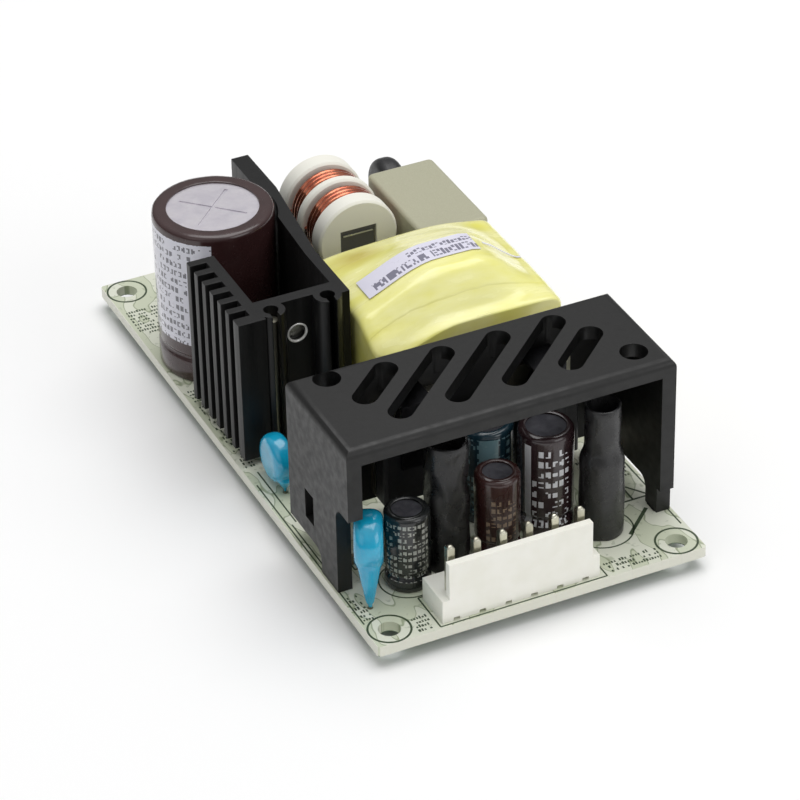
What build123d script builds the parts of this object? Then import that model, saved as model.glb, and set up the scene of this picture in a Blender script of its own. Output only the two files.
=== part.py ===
from build123d import *
import os
from math import cos, radians, sin

# Open frame power supply on a narrow board, in millimetres, +Z up.
# Origin: centre of the four mounting holes, on the underside of the board.
# Places are given from the board's left and front edges, and heights from its top face.

# Board
BOARD_WIDTH = 50.8
BOARD_LENGTH = 101.6
BOARD_THICKNESS = 1.6
BOARD_CORNER = 0.6
MOUNT_INSET = 3.175
MOUNT_DIAMETER = 3.2

# Leads and their holes
LEAD_CLEARANCE = 0.12
TIP_LENGTH = 2.0
THIN_LEAD = 0.6
THICK_LEAD = 0.8

# Capacitors with a metal can in a shrunk sleeve
SLEEVE_WALL = 0.25
SLEEVE_GAP = 0.02
SLEEVE_LIP = 1.1
SEAM_DEPTH = 0.35
SEAM_WIDTH = 1.1
RESERVOIR_X = 9.5
RESERVOIR_INSET = 25.3
RESERVOIR_DIAMETER = 18.2
RESERVOIR_HEIGHT = 25.8
RESERVOIR_LIP = 2.2
RESERVOIR_PITCH = 7.5
VENT_SCORE_WIDTH = 0.5
VENT_SCORE_DEPTH = 0.15
VENT_SCORE_MARGIN = 3.0

# Primary heatsink, one extrusion with its ribs upright
HEATSINK_TOP = 24.5
HEATSINK_LIFT = 1.2
HEATSINK_FRONT = 46.6
FIN_COUNT = 7
FIN_PITCH = 2.83
FIN_THICKNESS = 1.3
FIN_TIP_X = 0.72
FIN_REAR_Y = 48.6
FIN_WALL_X = 3.3
FIN_WALL_THICKNESS = 1.7
CROSS_WALL_Y = 49.5
CROSS_WALL_THICKNESS = 1.9
PLATE_X = 18.7
PLATE_THICKNESS = 1.7
PLATE_FLARE_START = 60.0
PLATE_FLARE_END = 79.0
PLATE_FLARE = 2.2
PLATE_REAR_Y = 89.6
PLATE_REAR_THICKNESS = 2.8
PLATE_LEAD = 1.4
RELIEF_GAP = 0.5
JOIN = 0.1
CHANNEL_RADIUS = 2.1
CHANNEL_SLOT = 1.1
CHANNEL_SET_FORWARD = 0.9
PIN_DIAMETER = 1.9
LEFT_PIN_TOP = 22.8
RIGHT_PIN_TOP = 9.0
PIN_INSET = 1.6
TRANSISTOR_X = 10.95
TRANSISTOR_HOLE_HEIGHT = 18.7
TAP_DIAMETER = 3.0
PAD_THICKNESS = 0.25
PAD_MARGIN = 0.8

# Flat power package with a metal tab
PACKAGE_WIDTH = 10.0
PACKAGE_DEPTH = 4.4
PACKAGE_HEIGHT = 9.0
TAB_THICKNESS = 1.3
TAB_HEIGHT = 15.4
TAB_HOLE_DIAMETER = 3.6
TAB_HOLE_HEIGHT = 12.7
PACKAGE_LEAD_PITCH = 2.54
PACKAGE_LEAD_WIDTH = 0.8
PACKAGE_LEAD_THICKNESS = 0.5
PACKAGE_LEAD_OFFSET = 2.4
PACKAGE_LEAD_ROOT = 1.5
SCREW_HEAD_DIAMETER = 5.4
SCREW_HEAD_HEIGHT = 2.0
SCREW_CLEARANCE = 0.05
SCREW_BITE = 0.9

# Common mode choke, its winding axis along Y
CHOKE_X = 31.0
CHOKE_FRONT_INSET = 29.6
CHOKE_AXIS_HEIGHT = 16.3
FLANGE_RADIUS = 6.45
END_FLANGE = 3.1
MIDDLE_FLANGE = 1.6
WINDING_LENGTH = 3.9
WINDING_RADIUS = 6.0
HUB_RADIUS = 4.0
CHOKE_LEG_WIDTH = 5.6
CHOKE_LEG_HEIGHT = 3.6
CHOKE_LEG_DEPTH = 2.5
CHOKE_RECESS = 0.5
CHOKE_CORE_BOTTOM = 4.6
CHOKE_FOOT_WIDTH = 11.0
CHOKE_GAP = 0.15
CHOKE_PIN_SPACING = 8.0

# Grey suppression capacitor
X_CAP_LEFT = 38.9
X_CAP_WIDTH = 11.1
X_CAP_LENGTH = 20.0
X_CAP_INSET = 15.4
X_CAP_HEIGHT = 18.0
X_CAP_ROUND = 0.9
X_CAP_PITCH = 15.0

# Input parts, placed from the rear edge
THERMISTOR_X = 45.0
THERMISTOR_INSET = 10.2
THERMISTOR_DIAMETER = 9.0
THERMISTOR_THICKNESS = 4.0
THERMISTOR_HEIGHT = 15.9
VARISTOR_X = 29.8
VARISTOR_INSET = 9.4
VARISTOR_DIAMETER = 7.4
VARISTOR_THICKNESS = 3.2
VARISTOR_HEIGHT = 11.0
FUSE_X = 37.6
FUSE_INSET = 7.0
FUSE_DIAMETER = 6.2
FUSE_HEIGHT = 8.0
BRIDGE_X = 11.6
BRIDGE_INSET = 9.8
BRIDGE_WIDTH = 8.5
BRIDGE_LENGTH = 6.4
BRIDGE_HEIGHT = 3.4
BRIDGE_PITCH = 5.1
BRIDGE_LEAD_ROW = 7.6

# Headers with square pins
PIN_PITCH = 3.96
PIN_SECTION = 1.14
HEADER_DEPTH = 6.3
HEADER_BASE = 3.7
HEADER_WALL_HEIGHT = 9.5
HEADER_WALL = 1.1
HEADER_END = 1.1
HEADER_PIN_OFFSET = 2.1
HEADER_PIN_TOP = 11.3
PIN_POINT = 0.35
OUTPUT_HEADER_LEFT = 10.1
OUTPUT_HEADER_FRONT = 0.85
OUTPUT_PINS = 6
INPUT_HEADER_LEFT = 16.6
INPUT_HEADER_REAR_INSET = 0.85
INPUT_WAYS = 3

# Transformer wrapped in tape, its winding axis along Y
# Each section: place from the front edge, peak, left shoulder, right shoulder, step of the left side
TRAFO_LEFT = 19.6
TRAFO_RIGHT = 49.0
TRAFO_BOTTOM = 4.2
TRAFO_SECTIONS = [
    (64.6, 20.4, 19.9, 19.2, 0.0),
    (54.0, 24.6, 20.6, 19.3, 0.0),
    (47.6, 24.6, 20.6, 19.3, 0.0),
    (42.6, 19.8, 17.4, 19.1, 0.2),
    (40.6, 19.3, 16.8, 18.9, 2.4),
]
TRAFO_PEAK_LEFT_X = 30.5
TRAFO_PEAK_RIGHT_X = 41.0
TRAFO_PEAK_ROUND = 6.0
TRAFO_LEFT_SHOULDER_WIDTH = 2.6
TRAFO_LEFT_DROP = 1.4
TRAFO_RIGHT_SHOULDER_WIDTH = 0.8
TRAFO_SOFTEN = 0.9
TAPE_WALL = 0.6
TAPE_FRONT_WALL = 2.6
CORE_GAP = 0.1
CORE_HEIGHT = 9.0
CORE_CENTRE_HEIGHT = 11.2
CORE_YOKE = 3.2
CORE_OUTER_LEG = 3.6
CORE_CENTRE_LEG = 7.2
CORE_SPLIT = 0.06
WINDING_WALL = 2.6
WINDING_SIDE_GAP = 0.2
WINDING_END_GAP = 0.4
WINDING_UNDER = 1.2
WINDING_ROUND = 2.0
BASE_WALL = 1.0
BASE_SIDE_INSET = 1.0
TRAFO_PINS_PER_SIDE = 4
TRAFO_PIN_PITCH = 5.0

# Output bracket, one folded sheet over the output parts
BRACKET_EDGE_GAP = 0.3
BRACKET_FRONT = 9.4
BRACKET_REAR = 29.4
BRACKET_TOP = 26.0
SHEET = 2.2
BEND_RADIUS = 1.3
LIP_BOTTOM = 23.4
REAR_WALL_BOTTOM = 3.5
SLOT_WIDTH = 3.6
SLOT_ANGLE = 42.5
SLOT_PITCH = 8.65
SLOT_FRONT_Y = 15.3
SLOT_REAR_Y = 25.5
SHORT_SLOT_Y = 20.6
TOP_HOLE_DIAMETER = 4.0
TOP_HOLE_LEFT_INSET = 5.2
TOP_HOLE_RIGHT_INSET = 4.4
TOP_HOLE_Y = 6.6
CUT_ROUND = 1.8
CUT_MARGIN = 4.0
LEFT_CUT_DEPTH = 4.2
LEFT_CUT_HEIGHT = 14.6
LEFT_FOOT_LENGTH = 5.4
LEFT_UNDERCUT = 3.5
LEFT_SLOT_Y = 22.6
LEFT_SLOT_WIDTH = 2.8
LEFT_SLOT_LOW = 6.4
LEFT_SLOT_HIGH = 11.2
RIGHT_NOTCH_DEPTH = 0.9
RIGHT_NOTCH_HEIGHT = 4.2
RIGHT_FOOT_LENGTH = 3.3
RIGHT_UNDERCUT = 4.0
FOOT_TAB_LENGTH = 2.2
FOOT_TAB_THICKNESS = 1.2

# Output rectifiers on the bracket's rear wall
RECTIFIER_LEFT_X = 17.0
RECTIFIER_RIGHT_X = 37.6
RECTIFIER_LIFT = 4.6
CLIP_WIDTH = 5.0
CLIP_THICKNESS = 0.5
CLIP_REACH = 3.0
CLIP_TOP = 20.6

# Small parts
DISC_DIAMETER = 8.4
DISC_THICKNESS = 3.2
DISC_HEIGHT = 14.0
DISC_TURN = 65.0
FRONT_DISC_X = 3.9
FRONT_DISC_Y = 10.9
REAR_DISC_X = 3.5
REAR_DISC_Y = 41.2
REAR_DISC_DIAMETER = 7.4
REAR_DISC_HEIGHT = 8.2
DISC_PITCH = 5.0
ROD_WALL = 0.45
LEFT_ROD_X = 17.0
LEFT_ROD_Y = 13.6
LEFT_ROD_DIAMETER = 6.3
LEFT_ROD_HEIGHT = 20.6
RIGHT_ROD_X = 39.6
RIGHT_ROD_Y = 10.5
RIGHT_ROD_DIAMETER = 6.4
RIGHT_ROD_HEIGHT = 21.4
ROD_LENGTH_SHARE = 0.62
ROD_WIRE_OFFSET = 2.2
BLACK_CAP = (10.2, 12.0, 6.5, 12.4)
BROWN_CAP = (24.3, 12.5, 6.5, 13.8)
TALL_CAP = (33.2, 15.2, 8.0, 17.0)
TEAL_CAP = (27.2, 21.9, 8.0, 15.5)
AUXILIARY_CAP = (11.5, 36.5, 6.3, 11.2)
SMALL_CAP_PITCH = 2.5
LARGE_CAP_PITCH = 3.5
COUPLER_X = 23.0
COUPLER_Y = 35.4
COUPLER_WIDTH = 6.4
COUPLER_LENGTH = 4.6
COUPLER_HEIGHT = 3.9
COUPLER_LIFT = 0.5
COUPLER_ROW = 7.62
DUAL_PITCH = 2.54
REFERENCE_X = 30.6
REFERENCE_Y = 34.4
REFERENCE_DIAMETER = 4.8
REFERENCE_FLAT = 3.9
REFERENCE_HEIGHT = 8.0
REFERENCE_LIFT = 3.4
REFERENCE_LEAD = 0.45
FILM_CAP_X = 40.0
FILM_CAP_Y = 34.6
FILM_CAP_WIDTH = 10.3
FILM_CAP_DEPTH = 4.6
FILM_CAP_HEIGHT = 9.4
FILM_CAP_PITCH = 7.5
AXIAL_PITCH = 10.0
AXIAL_LENGTH = 6.2
RESISTOR_DIAMETER = 2.3
RESISTOR_PLACES = [(9.8, 19.0), (11.5, 42.8)]
DIODE_DIAMETER = 2.6
DIODE_PLACES = [(27.5, 39.8), (42.5, 39.6)]
AXIAL_REST = 0.1
CHIP_X = 30.0
CHIP_Y = 52.0
CHIP_LENGTH = 4.9
CHIP_WIDTH = 3.9
CHIP_THICKNESS = 1.4
CHIP_SPAN = 6.0
CHIP_PITCH = 1.27
CHIP_FOOT = 0.42
CHIP_STANDOFF = 0.12
SMALL_CHIP = (1.6, 0.8, 0.5)
SMALL_CHIP_PLACES = [
    (24.0, 28.0), (27.0, 28.0), (30.0, 28.0), (33.5, 29.6), (21.5, 31.0), (21.5, 33.5),
]

# Worked out
TOP = BOARD_THICKNESS
TIP = -TIP_LENGTH
RESERVOIR_Y = BOARD_LENGTH - RESERVOIR_INSET
CHOKE_FRONT_Y = BOARD_LENGTH - CHOKE_FRONT_INSET
X_CAP_REAR_Y = BOARD_LENGTH - X_CAP_INSET
CHOKE_LENGTH = 2 * END_FLANGE + MIDDLE_FLANGE + 2 * WINDING_LENGTH
HEATSINK_BASE = HEATSINK_LIFT
CHANNEL_Y = CROSS_WALL_Y - CHANNEL_SET_FORWARD
BRACKET_LEFT = BRACKET_EDGE_GAP
BRACKET_RIGHT = BOARD_WIDTH - BRACKET_EDGE_GAP
BRACKET_MIDDLE_X = (BRACKET_LEFT + BRACKET_RIGHT) / 2
BRACKET_INNER_LEFT = BRACKET_LEFT + SHEET
BRACKET_INNER_RIGHT = BRACKET_RIGHT - SHEET

STANDING = (Align.CENTER, Align.CENTER, Align.MIN)
CORNER = (Align.MIN, Align.MIN, Align.MIN)
lead_holes = []


def place(x, y, height=0.0):
    """Location from the board's left edge, front edge and top face."""
    return Pos(x - BOARD_WIDTH / 2, y - BOARD_LENGTH / 2, TOP + height)


def block(x0, x1, y0, y1, low, high):
    """Box between two corners, with heights from the board's top face."""
    return place(x0, y0, low) * Box(x1 - x0, y1 - y0, high - low, align=CORNER)


def round_lead(x, y, diameter, high=0.0):
    """Round wire from its tip below the board up to a height, with its hole noted."""
    lead_holes.append(place(x, y) * Circle(diameter / 2 + LEAD_CLEARANCE))
    wire = Cylinder(diameter / 2, high + TOP - TIP, align=STANDING)
    return place(x, y, TIP - TOP) * wire


def flat_lead(x, y, width, depth, high=0.0):
    """Rectangular lead from its tip below the board up to a height, with its hole noted."""
    lead_holes.append(place(x, y) * Rectangle(width + 2 * LEAD_CLEARANCE, depth + 2 * LEAD_CLEARANCE))
    return place(x, y, TIP - TOP) * Box(width, depth, high + TOP - TIP, align=STANDING)


def turned(points):
    """Solid turned about Z from points of radius and height."""
    outline = Polyline(*[(r, 0, z) for r, z in points], close=True)
    return revolve(make_face(outline), Axis.Z)


def can_envelope(radius, low, high, soften):
    """Can with a rolled seam near its foot."""
    seam = low + 0.12 * (high - low) + SEAM_WIDTH
    half = SEAM_WIDTH / 2
    shape = turned([
        (0, low), (radius, low), (radius, seam - half), (radius - SEAM_DEPTH, seam),
        (radius, seam + half), (radius, high), (0, high),
    ])
    rims = shape.edges().filter_by(GeomType.CIRCLE).group_by(SortBy.RADIUS)[-1]
    return fillet([rims.sort_by(Axis.Z)[0], rims.sort_by(Axis.Z)[-1]], soften)


def capacitor(x, y, diameter, height, pitch, lead, lip=SLEEVE_LIP):
    """Can with its two leads, and the sleeve shrunk round it."""
    radius = diameter / 2
    inner = radius - SLEEVE_WALL
    can = can_envelope(inner - SLEEVE_GAP, SLEEVE_WALL + SLEEVE_GAP, height - SLEEVE_WALL - SLEEVE_GAP, 0.5)
    cavity = can_envelope(inner, SLEEVE_WALL, height - SLEEVE_WALL, 0.5)
    opening = Pos(0, 0, -1) * Cylinder(radius - lip, height + 2, align=STANDING)
    sleeve = can_envelope(radius, 0, height, 0.5 + SLEEVE_WALL) - cavity - opening
    wires = [round_lead(x, y + side * pitch / 2, lead, height / 8) for side in (-1, 1)]
    return place(x, y) * can + wires, place(x, y) * sleeve


def reservoir():
    """Tall capacitor with a scored vent in its bare top."""
    can, sleeve = capacitor(RESERVOIR_X, RESERVOIR_Y, RESERVOIR_DIAMETER, RESERVOIR_HEIGHT,
                            RESERVOIR_PITCH, THICK_LEAD, RESERVOIR_LIP)
    score_length = RESERVOIR_DIAMETER - 2 * RESERVOIR_LIP - VENT_SCORE_MARGIN
    score = place(RESERVOIR_X, RESERVOIR_Y, RESERVOIR_HEIGHT - SLEEVE_WALL - SLEEVE_GAP)
    for angle in (0, 90):
        can -= score * Rot(0, 0, angle + 45) * Box(score_length, VENT_SCORE_WIDTH, 2 * VENT_SCORE_DEPTH)
    return can, sleeve


def rectangle(x0, x1, y0, y1):
    """Flat rectangle between two corners, from the board's left and front edges."""
    return Pos((x0 + x1) / 2, (y0 + y1) / 2) * Rectangle(x1 - x0, y1 - y0)


def heatsink():
    """Finned extrusion round the reservoir, with a cross wall and two pin channels."""
    wall_inner = FIN_WALL_X + FIN_WALL_THICKNESS
    fins_rear = FIN_REAR_Y + (FIN_COUNT - 1) * FIN_PITCH
    section = rectangle(FIN_WALL_X, wall_inner, HEATSINK_FRONT, fins_rear)
    for step in range(FIN_COUNT):
        rear = FIN_REAR_Y + step * FIN_PITCH
        front = HEATSINK_FRONT if step == 0 else rear - FIN_THICKNESS
        section += rectangle(FIN_TIP_X, FIN_WALL_X + JOIN, front, rear)
    cross_rear = CROSS_WALL_Y + CROSS_WALL_THICKNESS
    section += rectangle(wall_inner - JOIN, PLATE_X - JOIN, CROSS_WALL_Y, cross_rear)
    inner_front = PLATE_X - PLATE_THICKNESS
    outer_rear = PLATE_X + PLATE_FLARE
    inner_rear = outer_rear - PLATE_REAR_THICKNESS
    plate = make_face(Polyline(
        (PLATE_X, CROSS_WALL_Y - PLATE_LEAD), (PLATE_X, PLATE_FLARE_START), (outer_rear, PLATE_FLARE_END),
        (outer_rear, PLATE_REAR_Y), (inner_rear, PLATE_REAR_Y), (inner_rear, PLATE_FLARE_END),
        (inner_front, PLATE_FLARE_START), (inner_front, CROSS_WALL_Y - PLATE_LEAD), close=True,
    ))
    relief = Pos(RESERVOIR_X, RESERVOIR_Y) * Circle(RESERVOIR_DIAMETER / 2 + RELIEF_GAP)
    section += plate - relief
    for channel_x in (wall_inner + PIN_INSET, PLATE_X - PLATE_THICKNESS - PIN_INSET):
        hole = PIN_DIAMETER / 2 + LEAD_CLEARANCE
        section += Pos(channel_x, CHANNEL_Y) * Circle(CHANNEL_RADIUS)
        section -= Pos(channel_x, CHANNEL_Y) * Circle(hole)
        section -= Pos(channel_x, CHANNEL_Y - CHANNEL_RADIUS) * Rectangle(CHANNEL_SLOT, 2 * CHANNEL_RADIUS)
    body = place(0, 0, HEATSINK_BASE) * extrude(section, HEATSINK_TOP - HEATSINK_BASE)
    tap = Rot(90, 0, 0) * Cylinder(TAP_DIAMETER / 2, 4 * CROSS_WALL_THICKNESS)
    return body - place(TRANSISTOR_X, CROSS_WALL_Y, TRANSISTOR_HOLE_HEIGHT) * tap


def heatsink_pins():
    """Two tinned pins pressed into the channels and soldered in the board."""
    wall_inner = FIN_WALL_X + FIN_WALL_THICKNESS
    left = round_lead(wall_inner + PIN_INSET, CHANNEL_Y, PIN_DIAMETER, LEFT_PIN_TOP)
    right = round_lead(PLATE_X - PLATE_THICKNESS - PIN_INSET, CHANNEL_Y, PIN_DIAMETER, RIGHT_PIN_TOP)
    return Compound([left, right])


def power_package(x, y, lift, facing):
    """Body and tab with leads; the tab's back lies at y and the body lies on the facing side."""
    def span(near, far):
        return (y + near, y + far) if facing > 0 else (y - far, y - near)

    half = PACKAGE_WIDTH / 2
    tab = block(x - half, x + half, *span(0, TAB_THICKNESS), lift, lift + TAB_HEIGHT)
    hole = Rot(90, 0, 0) * Cylinder(TAB_HOLE_DIAMETER / 2, 4 * TAB_THICKNESS)
    tab -= place(x, y, lift + TAB_HOLE_HEIGHT) * hole
    lead_y = y + facing * PACKAGE_LEAD_OFFSET
    leads = [
        flat_lead(x + step * PACKAGE_LEAD_PITCH, lead_y, PACKAGE_LEAD_WIDTH, PACKAGE_LEAD_THICKNESS,
                  lift + PACKAGE_LEAD_ROOT)
        for step in (-1, 0, 1)
    ]
    root = block(x - PACKAGE_LEAD_WIDTH / 2, x + PACKAGE_LEAD_WIDTH / 2, *span(0.2, PACKAGE_LEAD_OFFSET),
                 lift + 0.6, lift + PACKAGE_LEAD_ROOT)
    frame = (tab + root + leads[1], leads[0], leads[2])
    body = block(x - half, x + half, *span(TAB_THICKNESS, PACKAGE_DEPTH), lift, lift + PACKAGE_HEIGHT)
    front = body.faces().sort_by(Axis.Y)[-1 if facing > 0 else 0]
    body = chamfer(front.edges(), 0.5)
    for piece in frame:
        body -= piece
    return body, Compound([frame[0], frame[1], frame[2]])


def pan_screw(length, diameter):
    """Screw along +Y from under its head, with a crossed recess."""
    head = turned([(0, 0), (SCREW_HEAD_DIAMETER / 2, 0), (SCREW_HEAD_DIAMETER / 2, SCREW_HEAD_HEIGHT),
                   (0, SCREW_HEAD_HEIGHT)])
    head = fillet(head.edges().sort_by(Axis.Z)[-1], 0.7)
    for angle in (0, 90):
        head -= Pos(0, 0, SCREW_HEAD_HEIGHT) * Rot(0, 0, angle) * Box(3.0, 0.7, 1.6)
    shank = Pos(0, 0, -length) * Cylinder(diameter / 2, length, align=STANDING)
    return Rot(-90, 0, 0) * (head + shank)


def transistor():
    """Switching transistor, its pad and its screw, behind the heatsink's cross wall."""
    wall = CROSS_WALL_Y + CROSS_WALL_THICKNESS
    lift = TRANSISTOR_HOLE_HEIGHT - TAB_HOLE_HEIGHT
    body, tab = power_package(TRANSISTOR_X, wall + PAD_THICKNESS, lift, 1)
    half = PACKAGE_WIDTH / 2 - 0.2
    pad = block(TRANSISTOR_X - half, TRANSISTOR_X + half, wall, wall + PAD_THICKNESS,
                lift - PAD_MARGIN, lift + TAB_HEIGHT + PAD_MARGIN)
    hole = Rot(90, 0, 0) * Cylinder(TAB_HOLE_DIAMETER / 2, 4 * TAB_THICKNESS)
    pad -= place(TRANSISTOR_X, wall, TRANSISTOR_HOLE_HEIGHT) * hole
    reach = PAD_THICKNESS + TAB_THICKNESS + SCREW_BITE
    screw = place(TRANSISTOR_X, wall + PAD_THICKNESS + TAB_THICKNESS, TRANSISTOR_HOLE_HEIGHT) * pan_screw(
        reach, TAP_DIAMETER - 2 * SCREW_CLEARANCE)
    return body, tab, pad, screw


def along_y(radius, length):
    """Cylinder along +Y from the origin."""
    return Rot(-90, 0, 0) * Cylinder(radius, length, align=STANDING)


def choke():
    """Two-section choke: bobbin, two windings, two core halves and four pins."""
    axis = place(CHOKE_X, CHOKE_FRONT_Y, CHOKE_AXIS_HEIGHT)
    starts = [0, END_FLANGE + WINDING_LENGTH, CHOKE_LENGTH - END_FLANGE]
    widths = [END_FLANGE, MIDDLE_FLANGE, END_FLANGE]
    bobbin = axis * along_y(HUB_RADIUS, CHOKE_LENGTH)
    for start, width in zip(starts, widths):
        disc = axis * Pos(0, start, 0) * along_y(FLANGE_RADIUS, width)
        bobbin += chamfer(disc.edges().filter_by(GeomType.CIRCLE), 0.35)
    half_foot = CHOKE_FOOT_WIDTH / 2
    for start in (0, CHOKE_LENGTH - END_FLANGE):
        front = CHOKE_FRONT_Y + start
        bobbin += block(CHOKE_X - half_foot, CHOKE_X + half_foot, front, front + END_FLANGE,
                        0, CHOKE_AXIS_HEIGHT - FLANGE_RADIUS / 2)
    leg_low = CHOKE_AXIS_HEIGHT - CHOKE_LEG_HEIGHT / 2
    leg_high = CHOKE_AXIS_HEIGHT + CHOKE_LEG_HEIGHT / 2
    front, rear = CHOKE_FRONT_Y + CHOKE_RECESS, CHOKE_FRONT_Y + CHOKE_LENGTH - CHOKE_RECESS
    half_leg = CHOKE_LEG_WIDTH / 2
    middle = (front + rear) / 2

    def loop(grow):
        outer = block(CHOKE_X - half_leg - grow, CHOKE_X + half_leg + grow, front - grow, rear + grow,
                      CHOKE_CORE_BOTTOM - grow, leg_high + grow)
        window = block(CHOKE_X - 2 * half_leg, CHOKE_X + 2 * half_leg,
                       front + CHOKE_LEG_DEPTH + grow, rear - CHOKE_LEG_DEPTH - grow,
                       CHOKE_CORE_BOTTOM + CHOKE_LEG_HEIGHT + grow, leg_low - grow)
        return outer - window

    bobbin -= loop(CHOKE_GAP)
    for start in (front, rear):
        bobbin -= block(CHOKE_X - half_leg - CHOKE_GAP, CHOKE_X + half_leg + CHOKE_GAP, start - CHOKE_RECESS,
                        start + CHOKE_RECESS, CHOKE_CORE_BOTTOM - CHOKE_GAP, leg_high + CHOKE_GAP)
    ring = loop(0)
    halves = [
        ring & block(0, BOARD_WIDTH, low_y, high_y, 0, HEATSINK_TOP)
        for low_y, high_y in ((front - 1, middle - 0.02), (middle + 0.02, rear + 1))
    ]
    windings = []
    for start in (END_FLANGE, END_FLANGE + WINDING_LENGTH + MIDDLE_FLANGE):
        coil = axis * Pos(0, start + 0.05, 0) * along_y(WINDING_RADIUS, WINDING_LENGTH - 0.1)
        coil = fillet(coil.edges().filter_by(GeomType.CIRCLE), 0.4)
        windings.append(coil - axis * along_y(HUB_RADIUS + SLEEVE_GAP, CHOKE_LENGTH))
    pins = [
        round_lead(CHOKE_X + side * CHOKE_PIN_SPACING / 2, CHOKE_FRONT_Y + start, THICK_LEAD)
        for side in (-1, 1)
        for start in (END_FLANGE / 2, CHOKE_LENGTH - END_FLANGE / 2)
    ]
    return bobbin, Compound(halves), windings[0], windings[1], Compound(pins)


def moulded_box(x0, x1, y0, y1, low, high, soften):
    """Box with its upright and top edges rounded."""
    body = block(x0, x1, y0, y1, low, high)
    body = fillet(body.edges().filter_by(Axis.Z), soften)
    return fillet(body.faces().sort_by(Axis.Z)[-1].edges(), soften * 0.8)


def suppression_capacitor():
    """Grey moulded box with two leads."""
    body = moulded_box(X_CAP_LEFT, X_CAP_LEFT + X_CAP_WIDTH, X_CAP_REAR_Y - X_CAP_LENGTH, X_CAP_REAR_Y,
                       0, X_CAP_HEIGHT, X_CAP_ROUND)
    middle = X_CAP_REAR_Y - X_CAP_LENGTH / 2
    for side in (-1, 1):
        body += round_lead(X_CAP_LEFT + X_CAP_WIDTH / 2, middle + side * X_CAP_PITCH / 2, THICK_LEAD, 0.5)
    return body


def coated_disc(x, y, diameter, thickness, height, pitch, turn=90):
    """Dipped disc standing on two leads; the disc faces X when turned by 90 degrees."""
    radius = diameter / 2
    centre = height - radius
    disc = Rot(90, 0, 0) * Cylinder(radius, thickness)
    disc = Pos(0, 0, centre) * fillet(disc.edges().filter_by(GeomType.CIRCLE), thickness * 0.4)
    body = disc
    for side in (-1, 1):
        low = Pos(side * pitch / 2, 0, 0)
        neck_top = centre - radius * 0.55
        neck = Cone(THIN_LEAD * 0.8, thickness * 0.42, neck_top - 0.9, align=STANDING)
        body += low * Pos(0, 0, 0.9) * neck
    body = place(x, y) * Rot(0, 0, turn) * body
    swing = radians(turn)
    for side in (-1, 1):
        lead_x = x + side * pitch / 2 * cos(swing)
        lead_y = y + side * pitch / 2 * sin(swing)
        body += round_lead(lead_x, lead_y, THIN_LEAD, 1.2)
    return body


def fuse():
    """Round sub-miniature fuse on two leads."""
    body = Cylinder(FUSE_DIAMETER / 2, FUSE_HEIGHT, align=STANDING)
    fuse_y = BOARD_LENGTH - FUSE_INSET
    body = place(FUSE_X, fuse_y) * fillet(body.edges().sort_by(Axis.Z)[-1], 0.5)
    for side in (-1, 1):
        body += round_lead(FUSE_X + side * SMALL_CAP_PITCH, fuse_y, THIN_LEAD, 1)
    return body


def dual_row(x, y, width, length, height, lift, row, pitch, per_side):
    """Moulded body between two rows of bent flat leads."""
    body = block(x - width / 2, x + width / 2, y - length / 2, y + length / 2, lift, height)
    body = chamfer(body.faces().sort_by(Axis.Z)[-1].edges(), 0.4)
    level = (lift + height) / 2
    for side in (-1, 1):
        for step in range(per_side):
            lead_y = y + (step - (per_side - 1) / 2) * pitch
            lead_x = x + side * row / 2
            body += flat_lead(lead_x, lead_y, 0.4, THIN_LEAD, level)
            body += block(min(x, lead_x), max(x, lead_x), lead_y - THIN_LEAD / 2, lead_y + THIN_LEAD / 2,
                          level - 0.3, level)
    return body


def header(left, front, ways, wall_side, fitted):
    """Housing with one tall wall, and its square pins."""
    length = (ways - 1) * PIN_PITCH + 2 * HEADER_END + PIN_SECTION + 1.0
    base = block(left, left + length, front, front + HEADER_DEPTH, 0, HEADER_BASE)
    if wall_side < 0:
        wall_front, pin_y = front, front + HEADER_PIN_OFFSET
    else:
        wall_front, pin_y = front + HEADER_DEPTH - HEADER_WALL, front + HEADER_DEPTH - HEADER_PIN_OFFSET
    housing = base + block(left + HEADER_END, left + length - HEADER_END, wall_front, wall_front + HEADER_WALL,
                           0, HEADER_WALL_HEIGHT)
    first = left + (length - (ways - 1) * PIN_PITCH) / 2
    pins = []
    for way in range(ways):
        pin_x = first + way * PIN_PITCH
        groove = block(pin_x - 0.5, pin_x + 0.5, front - 1, front + HEADER_DEPTH + 1, -1, 0.5)
        housing -= groove
        if way not in fitted:
            continue
        pin = flat_lead(pin_x, pin_y, PIN_SECTION, PIN_SECTION, HEADER_PIN_TOP)
        housing -= pin
        pins.append(chamfer(pin.faces().sort_by(Axis.Z)[-1].edges(), PIN_POINT))
    return housing, Compound(pins)


def hump_section(peak, left_shoulder, right_shoulder, step_in):
    """Face across the transformer: flat sides, soft shoulders and a low arch."""
    left = TRAFO_LEFT + step_in
    soft = [
        (left, left_shoulder - TRAFO_LEFT_DROP), (left + TRAFO_LEFT_SHOULDER_WIDTH, left_shoulder),
        (TRAFO_RIGHT - TRAFO_RIGHT_SHOULDER_WIDTH, right_shoulder),
        (TRAFO_RIGHT, right_shoulder - TRAFO_RIGHT_SHOULDER_WIDTH),
    ]
    peaks = [(TRAFO_PEAK_LEFT_X, peak), (TRAFO_PEAK_RIGHT_X, peak)]
    outline = [(left, TRAFO_BOTTOM), *soft[:2], *peaks, *soft[2:], (TRAFO_RIGHT, TRAFO_BOTTOM)]
    face = make_face(Polyline(*outline, close=True))
    for corners, radius in ((peaks, TRAFO_PEAK_ROUND), (soft, TRAFO_SOFTEN)):
        for x, z in corners:
            face = fillet(face.vertices().sort_by_distance(Vector(x, z, 0))[0], radius)
    return face


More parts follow.
